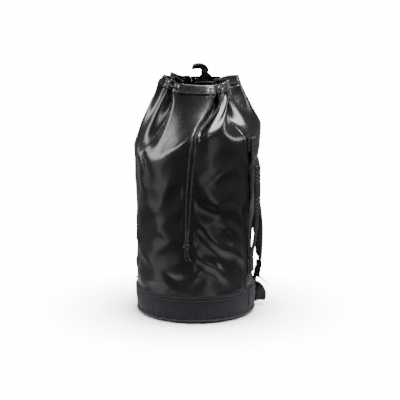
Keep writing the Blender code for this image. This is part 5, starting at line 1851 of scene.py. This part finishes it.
@dataclass
class HaulLoop:
    """The webbing loop that stands at the back of the rim, and the stub it is sewn to."""

    width: float = 0.0180
    root: tuple = (0.0070, 0.0680)
    facing: float = 188.0
    rise: float = 0.0044
    gap: float = 0.0018

    def build(self) -> None:
        """Builds and settles the stub and the twisted loop."""
        azimuths = np.arange(600, 720) / 4.0
        azimuth = azimuths[np.argmin(np.abs(wall_point(azimuths, 3.0)[:, 0] - self.root[0]))]
        rim = wall_point(azimuth, 3.0)
        up = rim_place(np.array(azimuth))[1]
        run = along(self.facing)
        out = unit(np.cross(run, up))
        face = 0.0040 + HEM_THICKNESS + 0.0006
        thick = WEBBING_THICKNESS * 2 + GAP
        drops = np.array((HEM_HEIGHT - 0.002, 0.016, 0.012, 0.006, 0.001, -self.rise + self.gap))[:, None]
        middle = rim - up * drops + out * (face + thick / 2)
        surface = Surface()
        tape(surface, middle, np.repeat(run[None], len(middle), 0), self.width, thick)
        settle(surface.piece("haul_loop_sewn_end"), WEBBED, Body.BAG, "haul_loop_stub")
        seams = Surface()
        corner = np.array(
            ((-1, 0.019), (1, 0.019), (1, 0.006), (-1, 0.006), (-1, 0.019), (1, 0.006), (-1, 0.006), (1, 0.019))
        )
        box = rim - up * corner[:, 1:] + run * corner[:, :1] * 0.0062 + out * (face + thick + 0.0001)
        line, _ = march(box, 0.0015)
        stitches(seams, line, np.repeat(out[None], len(line), 0), 0.0026)
        settle(seams.piece("haul_loop_stitching"), THREAD, Body.BAG)
        start = rim + up * self.rise + out * (face + thick / 2)
        spine = np.array(
            (
                start, start + up * 0.0050, start + up * 0.0075 + (0.0006, 0.0016, 0.0040),
                start + (-0.0030, -0.0030, 0.0165),
                start + (-0.0120, -0.0080, 0.0205), start + (-0.0260, -0.0165, 0.0185),
            )
        )
        root_gap = thick / 2 - WEBBING_THICKNESS / 2 + 0.0001
        line = route(spine, 0.0022)
        share = np.linspace(0.0, len(spine) - 1.0, len(line))
        knots = np.arange(len(spine))
        lean = np.radians(np.interp(share, knots, (0.0, 0.0, 6.0, 18.0, 24.0, 22.0)))[:, None]
        open_by = np.interp(share, knots, (root_gap, root_gap + 0.0002, 0.0012, 0.0018, 0.0026, 0.0016))[:, None]
        way = path_tangents(line)
        side = unit(np.cross(way, out[None]))
        side = side * np.cos(lean) + unit(out - way * np.sum(way * out, -1, keepdims=True)) * np.sin(lean)
        normal = np.cross(side, way)
        apex = line[-1:] + way[-1:] * 0.0020
        middles = np.vstack((line + normal * open_by, apex, (line - normal * open_by)[::-1]))
        sides = np.vstack((side, side[-1:], side[::-1]))
        surface = Surface()
        tape(surface, middles, sides, self.width, WEBBING_THICKNESS, spacing=0.0014)
        settle(surface.piece("haul_loop_webbing"), WEBBED, Body.HAUL_LOOP, "haul_loop")


@dataclass
class Strap:
    """One padded shoulder strap, from the yoke down to the wing on the base."""

    name: str
    mirror: float
    body: Body
    pad_width: float = 0.0580
    pad_thickness: float = 0.0080
    lock_width: float = 0.0340
    pitch: float = 0.0110

    def flip(self, points: Array) -> Array:
        """Points of the right strap, on this strap's side."""
        return np.asarray(points, float) * np.array((self.mirror, 1.0, 1.0))

    def seat(self, azimuth: Array | float, height: Array | float, lift: float) -> Array:
        """A point on this side's wall, given as on the right side."""
        return self.flip(off_wall(np.asarray(azimuth, float) * self.mirror, height, lift))

    def build(self) -> None:
        """Builds and settles each piece."""
        self.lay_out()
        self.webbing()
        self.pad()
        self.lock()
        self.tail()
        self.lower()

    def lay_out(self) -> None:
        """The strap's centre line, and the ladder lock's own frame in line with it."""
        lift = SEWN_LIFT + WEBBING_THICKNESS / 2
        top = self.seat(STRAP_TOP_AZIMUTH, STRAP_TOP_Z, lift)
        radius = math.hypot(top[0], top[1])
        table = np.array(
            (
                (STRAP_TOP_AZIMUTH, radius, STRAP_TOP_Z),
                (STRAP_TOP_AZIMUTH - 0.4, radius + 0.0020, STRAP_TOP_Z - 0.010),
                (160.0, 0.1680, 0.366), (149.0, 0.1750, 0.320), (136.0, 0.1785, 0.260), (124.0, 0.1750, 0.190),
                (114.5, 0.1680, 0.136), (114.8, 0.1640, 0.116),
            )
        )
        self.line = route(outward(table[:, 0]) * table[:, 1:2] + UP * table[:, 2:], 0.006)
        self.centre = outward(116.4) * 0.1620 + UP * 0.0915
        self.up = unit(self.line[-1] - self.centre)
        out = outward(116.4)
        self.out = unit(out - self.up * float(out @ self.up))
        self.side = np.cross(self.up, self.out)
        way = path_tangents(self.line)
        radial = unit(self.line * np.array((1.0, 1.0, 0.0)))
        self.face = unit(radial - way * np.sum(radial * way, -1, keepdims=True))
        self.across = np.cross(way, self.face)

    def at_lock(self, places: Array) -> Array:
        """Points given as (up the strap, out, across) from the lock's middle, still on the right side."""
        places = np.atleast_2d(np.asarray(places, float))
        if places.shape[1] == 2:
            places = np.hstack((places, np.zeros((len(places), 1))))
        return self.centre + places[:, :1] * self.up + places[:, 1:2] * self.out + places[:, 2:] * self.side

    def webbing(self) -> None:
        """The strap's webbing, down over the lock's upper bar and sewn back to itself."""
        p = self.pitch
        turned = self.at_lock(
            (
                (p + 0.008, 0.0030), (p + 0.0025, 0.0038), (p - 0.0028, 0.0022), (p - 0.0034, 0.0),
                (p - 0.0028, -0.0022), (p + 0.0025, -0.0036), (p + 0.012, -0.0030)
            )
        )
        middles = np.vstack((self.line, turned))
        middles[0] -= UP * GAP
        sides = np.vstack((self.across, np.repeat(self.side[None], len(turned), 0)))
        surface = Surface()
        tape(surface, self.flip(middles), self.flip(sides), WEBBING_WIDTH, WEBBING_THICKNESS, spacing=0.0018)
        settle(surface.piece(f"strap_tape_{self.name}"), WEBBED, self.body, f"strap_webbing_{self.name}")
        seams = Surface()
        for offset in (-0.0098, 0.0098):
            keep = (self.line[:, 2] < 0.368) & (self.line[:, 2] > 0.128)
            seam = (self.line + self.across * offset + self.face * 0.0009)[keep]
            stitches(seams, self.flip(seam), self.flip(self.face[keep]), 0.0036)
        settle(seams.piece(f"strap_stitching_{self.name}"), THREAD, self.body)
        levels = np.linspace(STRAP_TOP_Z + 0.0015, STRAP_TOP_Z + 0.032, 12)
        middle = self.seat(np.full(12, STRAP_TOP_AZIMUTH), levels, SEWN_LIFT + WEBBING_THICKNESS / 2)
        tab = Surface()
        tape(
            tab, self.flip(middle), np.repeat(self.flip(along(STRAP_TOP_AZIMUTH))[None], 12, 0), 0.0248,
            WEBBING_THICKNESS
        )
        settle(tab.piece(f"strap_sewn_top_{self.name}"), WEBBED, Body.BAG, f"strap_top_{self.name}")
        box = box_stitch(STRAP_TOP_AZIMUTH * self.mirror, STRAP_TOP_Z + 0.005, STRAP_TOP_Z + 0.028, 3.7)
        sew_on_wall(
            f"strap_top_stitching_{self.name}", box, SEWN_LIFT + WEBBING_THICKNESS + 0.0001, Body.BAG, 0.0028
        )

    def pad(self) -> None:
        """The pad: a crowned cushion, thin at its bound edge and its sewn middle, swelled like filled cloth."""
        keep = (self.line[:, 2] <= 0.372) & (self.line[:, 2] >= 0.1245)
        table = np.hstack((self.line, self.across, self.face))[keep]
        read, run = march(table[:, :3], 0.0030, table)
        middle, across, face = read[:, :3], unit(read[:, 3:6]), unit(read[:, 6:])
        length = run[-1]
        from_end = np.minimum(run, length - run)
        corner = 0.026
        shrink = np.where(from_end < corner, np.sqrt(np.clip(1 - (1 - from_end / corner) ** 2, 0.0, 1.0)), 1.0)
        half = self.pad_width / 2 * (0.52 + 0.48 * shrink)
        inner = np.linspace(-1.0, 1.0, 25)
        quilt = 0.82 + 0.18 * np.abs(np.sin(run / length * math.pi * 6.0)) ** 0.6
        ends = np.sqrt(np.clip(from_end / 0.010, 0.02, 1.0))
        seam = 1.0 - 0.45 * np.exp(-(((np.abs(inner) - 0.34) / 0.075) ** 2))
        crown = np.sqrt(np.clip(1.0 - inner**6, 0.0, 1.0)) * seam
        thick = 0.0012 + (self.pad_thickness / 2 - 0.0012) * crown[None] * (quilt * ends)[:, None]
        drop = self.pad_thickness / 2 + WEBBING_THICKNESS / 2 + 0.0004
        base = middle[:, None] + across[:, None] * (half[:, None] * inner)[..., None] - (face * drop)[:, None]
        top = base + face[:, None] * thick[..., None]
        under = base - face[:, None] * (thick * 1.05)[..., None]
        points = np.concatenate((top, under[:, ::-1]), 1)
        girth = np.concatenate((inner, inner[::-1], inner[:1])) * self.pad_width / 2
        uv = pairs(girth[None], run[:, None])
        surface = Surface()
        surface.grid(self.flip(points), uv, wrap=True, caps=True)
        piece = surface.piece(f"strap_cushion_{self.name}")
        settle(piece, WOVEN, self.body, f"strap_pad_{self.name}")
        edge = np.vstack((base[:, 0], base[::-1, -1], base[:1, 0]))
        outline, _ = march(edge, 0.0022)
        binding = Surface()
        tube(binding, self.flip(outline), 0.0017, 10, round_ends=False)
        # The binding's paler colours are a painted highlight.
        settle(binding.piece(f"pad_binding_{self.name}"), HIGHLIT_PIPING, self.body)

    def lock(self) -> None:
        """The ladder lock: a rounded frame, two cross bars and a thumb lip, moulded in one."""
        w, rise, r = self.lock_width / 2 - 0.0016, self.pitch, 0.00165
        corner = 0.0035
        turn = np.radians(np.linspace(0, 90, 7))
        arc = np.stack((np.cos(turn), np.sin(turn)), -1) * corner
        quads = []
        for sign_x, sign_y, order in ((1, 1, 1), (-1, 1, -1), (-1, -1, 1), (1, -1, -1)):
            part = arc[::order] * np.array((sign_x, sign_y)) + np.array(
                (sign_x * (w - corner), sign_y * (rise - corner))
            )
            quads.append(part)
        outline = np.vstack(quads + [quads[0][:1]])
        dense, _ = march(outline, 0.0012)
        ring = self.at_lock(np.stack((dense[:, 1], 0 * dense[:, 0], dense[:, 0]), -1))
        surface = Surface()
        tube(surface, self.flip(ring), r, 12, round_ends=False)
        for place, off, size in ((0.0, 0.0, 0.0014), (rise * 0.94, 0.0004, 0.0016), (-rise * 1.05, 0.0010, 0.0018)):
            reach = np.linspace(-w, w, 14)
            bar = self.at_lock(np.stack((np.full(14, place), np.full(14, off), reach), -1))
            tube(surface, self.flip(bar), size, 12, round_ends=False)
        settle(surface.piece(f"ladder_buckle_{self.name}"), PLASTIC, self.body, f"ladder_lock_{self.name}")

    def tail(self) -> None:
        """The adjusting webbing, up behind the lock, over its middle bar and out as the turned-out tail."""
        p = self.pitch
        wrap = self.at_lock(
            (
                (-p - 0.0075, -0.0054), (-p, -0.0048), (0.0005, -0.0048), (0.0038, -0.0034), (0.0044, -0.0004),
                (0.0030, 0.0026),
                (-0.0012, 0.0031), (-0.0042, 0.0004), (-0.0075, -0.0021), (-p, -0.0026), (-p - 0.0050, -0.0022),
            )
        )
        c, up, out, side = self.centre, self.up, self.out, self.side
        free = np.array(
            (
                c - up * 0.0200 + out * 0.0050 - side * 0.001, c - up * 0.0262 + out * 0.0135 - side * 0.004,
                c - up * 0.0322 + out * 0.0220 - side * 0.008, c - up * 0.0390 + out * 0.0305 - side * 0.012,
            )
        )
        mix = np.array((0.25, 0.5, 0.75, 1.0))[:, None]
        turned = unit(side * 0.8 + out * 0.2 - up * 0.3)
        sides = np.vstack((np.repeat(side[None], len(wrap), 0), unit(side * (1 - mix) + turned * mix)))
        widths = np.concatenate((np.full(len(wrap), WEBBING_WIDTH), WEBBING_WIDTH * (1.0 - 0.18 * mix[:, 0])))
        table = np.hstack((np.vstack((wrap, free)), sides, widths[:, None]))
        fine = route(table, 0.0030)
        surface = Surface()
        tape(
            surface, self.flip(fine[:, :3]), self.flip(fine[:, 3:6]), fine[:, 6], WEBBING_THICKNESS,
            spacing=0.0014
        )
        settle(surface.piece(f"strap_free_tail_{self.name}"), WEBBED, self.body, f"strap_tail_{self.name}")

    def lower(self) -> None:
        """The sewn end of the adjusting webbing, hanging in a slack fold to the wing on the base."""
        c, up, out, side = self.centre, self.up, self.out, self.side
        split = c - up * (self.pitch + 0.0085) - out * 0.0054
        lift = 0.0062
        level, sewn = along(12.0) * -1.0, along(WING_AZIMUTH)
        anchor = self.seat(WING_AZIMUTH, 0.048, lift)
        second = self.seat(WING_AZIMUTH, 0.036, lift)
        middles = np.array(
            (
                anchor, second, (0.1430, 0.0710, 0.0225), (0.1490, 0.0660, 0.0130), (0.1540, 0.0600, 0.0180),
                (0.1550, 0.0620, 0.0340),
                split - up * 0.0180 + out * 0.0040, split - up * 0.0060 + out * 0.0002, split,
            )
        )
        sides = unit(
            np.array(
                (
                    sewn, sewn, sewn + level * 0.5, sewn * 0.2 + level, level, level + side * 0.3,
                    level * 0.25 + side, side, side
                )
            )
        )
        fine = route(np.hstack((middles, sides)), 0.004)
        surface = Surface()
        tape(
            surface, self.flip(fine[:, :3]), self.flip(unit(fine[:, 3:])), WEBBING_WIDTH, WEBBING_THICKNESS,
            spacing=0.0016
        )
        settle(surface.piece(f"strap_sewn_foot_{self.name}"), WEBBED, Body.BAG, f"strap_lower_{self.name}")
        levels = np.linspace(0.030, 0.056, 18)
        half_turn = np.interp(levels, (0.030, 0.042, 0.056), (5.4, 6.2, 7.0))
        across = np.linspace(-1.0, 1.0, 14)
        azimuth = WING_AZIMUTH + half_turn[:, None] * across[None]
        edge = np.minimum(
            1.0 - np.abs(across)[None] + 0 * azimuth,
            np.minimum(levels - 0.030, 0.056 - levels)[:, None] / 0.013 + 0 * azimuth
        )
        roll = 0.0005 * (1.0 - smooth_step(edge / 0.10))
        wing = Surface()
        points = off_wall(azimuth * self.mirror, levels[:, None] + 0 * azimuth, 0.0027 + 0.0012 - roll)
        wing.grid(points, np.stack((azimuth / 360.0 * TAU * TUBE_RADIUS, levels[:, None] + 0 * azimuth), -1))
        piece = wing.piece(f"wing_patch_{self.name}")
        solidify(piece, -0.0010)
        settle(piece, WOVEN, Body.BAG, f"base_wing_{self.name}")


def build_yoke() -> None:
    """The doubled patch across the back that the shoulder straps are sewn to."""
    turns = np.linspace(STRAP_TOP_AZIMUTH - 8.0, 360.0 - STRAP_TOP_AZIMUTH + 8.0, 90)
    levels = np.linspace(STRAP_TOP_Z + YOKE_RISE, STRAP_TOP_Z + 0.041, 28)
    patch_sheet("back_yoke_patch", turns, levels, PATCH_LIFT, PATCH_THICKNESS, WOVEN, Body.BAG, ("back_yoke",))


# ---------------------------------------------------------------- the studio


@dataclass
class Studio:
    """A pale floor, soft boxes and the camera."""

    turn: float = 12.0
    distance: float = 4.5
    height: float = 1.29
    pitch: float = 12.67
    shift: float = 0.0105
    lens: float = 167.1
    power: float = 170.0

    def camera(self) -> None:
        """The camera, square to a heading and tilted down."""
        a, p = math.radians(self.turn), math.radians(self.pitch)
        right = np.array((math.cos(a), math.sin(a), 0.0))
        ahead = np.array((-math.sin(a), math.cos(a), 0.0))
        data = bpy.data.cameras.new("camera")
        data.lens, data.sensor_width = self.lens, 36.0
        item = bpy.data.objects.new("camera", data)
        item.location = -self.distance * ahead + self.shift * right + self.height * UP
        item.rotation_euler = (math.radians(90.0) - p, 0.0, a)
        bpy.context.scene.collection.objects.link(item)
        bpy.context.scene.camera = item

    def floor(self) -> None:
        """A pale floor that fades into the white surround away from the bag."""
        surface = Surface()
        reach = np.linspace(-3.0, 3.0, 3)
        x, y = np.meshgrid(reach, reach)
        surface.grid(np.stack((x, y, 0 * x - 0.0002), -1), np.stack((x, y), -1))
        item = surface.piece("floor")
        material = bpy.data.materials.new("floor")
        material.use_nodes = True
        graph = Graph(material)
        shader = material.node_tree.nodes["Principled BSDF"]
        shader.inputs["Base Color"].default_value = (0.90, 0.90, 0.90, 1.0)
        shader.inputs["Roughness"].default_value = 0.9
        shader.inputs["Specular IOR Level"].default_value = 0.1
        length = graph.node("ShaderNodeVectorMath", {"operation": "LENGTH"}, {0: graph.place()})
        fade = Value(graph, length.outputs["Value"]).clamp(0.14, 0.42)
        clear = graph.node("ShaderNodeBsdfTransparent")
        mix = graph.node("ShaderNodeMixShader", None, {0: fade, 1: shader.outputs[0], 2: clear.outputs[0]})
        material.node_tree.links.new(mix.outputs[0], material.node_tree.nodes["Material Output"].inputs[0])
        item.data.materials.append(material)

    def box_light(self, name: str, place: tuple, aim: tuple, size: tuple, power: float) -> None:
        """One rectangular soft box aimed at a point."""
        data = bpy.data.lights.new(name, "AREA")
        data.shape, data.size, data.size_y, data.energy = "RECTANGLE", size[0], size[1], power
        item = bpy.data.objects.new(name, data)
        way = unit(np.array(aim) - np.array(place))
        item.location = place
        yaw, tilt = math.atan2(-way[0], way[1]), math.asin(way[2])
        item.rotation_euler = (math.radians(90.0) + tilt, 0.0, yaw)
        bpy.context.scene.collection.objects.link(item)

    def lights(self) -> None:
        """Soft boxes above and to both sides, and a white surround."""
        aim = (0.0, 0.0, 0.35)
        self.box_light("top box", (0.25, -0.10, 2.5), aim, (1.5, 1.3), self.power * 1.0)
        self.box_light("left box", (-2.3, -0.5, 1.5), aim, (0.7, 1.6), self.power * 0.28)
        self.box_light("right box", (2.4, 0.4, 1.6), aim, (0.6, 1.4), self.power * 0.22)
        self.box_light("front box", (0.7, -3.0, 2.7), aim, (1.2, 0.6), self.power * 0.20)
        self.box_light("left low box", (-1.7, -0.9, 0.05), (0.0, 0.0, 0.25), (0.95, 1.3), self.power * 0.025)
        self.box_light("right low box", (1.3, -1.5, 0.02), (0.0, 0.0, 0.25), (0.75, 0.9), self.power * 0.014)
        world = bpy.data.worlds.new("surround")
        bpy.context.scene.world = world
        world.use_nodes = True
        tree = world.node_tree
        back = tree.nodes["Background"]
        ramp = tree.nodes.new("ShaderNodeValToRGB")
        for element, (place, grey) in zip(
            (*ramp.color_ramp.elements, ramp.color_ramp.elements.new(0.5), ramp.color_ramp.elements.new(0.8)),
            ((0.0, 0.04), (0.33, 0.07), (0.46, 0.60), (0.82, 0.24))
        ):
            element.position, element.color = place, (grey, grey, grey, 1.0)
        source = tree.nodes.new("ShaderNodeTexCoord")
        split = tree.nodes.new("ShaderNodeSeparateXYZ")
        spread = tree.nodes.new("ShaderNodeMapRange")
        spread.inputs[1].default_value, spread.inputs[2].default_value = -1.0, 1.0
        tree.links.new(source.outputs["Generated"], split.inputs[0])
        tree.links.new(split.outputs[2], spread.inputs[0])
        tree.links.new(spread.outputs[0], ramp.inputs[0])
        tree.links.new(ramp.outputs[0], back.inputs["Color"])
        back.inputs["Strength"].default_value = 0.5
        bright = tree.nodes.new("ShaderNodeBackground")
        bright.inputs["Color"].default_value = (1.0, 1.0, 1.0, 1.0)
        bright.inputs["Strength"].default_value = 16.0
        path = tree.nodes.new("ShaderNodeLightPath")
        mix = tree.nodes.new("ShaderNodeMixShader")
        tree.links.new(path.outputs["Is Camera Ray"], mix.inputs[0])
        tree.links.new(back.outputs[0], mix.inputs[1])
        tree.links.new(bright.outputs[0], mix.inputs[2])
        tree.links.new(mix.outputs[0], tree.nodes["World Output"].inputs[0])


def main() -> None:
    """Builds the studio and every sub-assembly in order."""
    logging.basicConfig(level=logging.INFO, format="%(name)s: %(message)s")
    studio = Studio()
    studio.camera()
    studio.floor()
    studio.lights()
    cloth = ClothTube()
    cloth.relax()
    LOG.info("cloth relaxed")
    Drawcord(cloth).build()
    Mouth(cloth).build()
    Base().build()
    build_yoke()
    SideHandle().build()
    HaulLoop().build()
    Strap("right", 1.0, Body.STRAP_RIGHT).build()
    Strap("left", -1.0, Body.STRAP_LEFT).build()


if __name__ == "__main__":
    main()
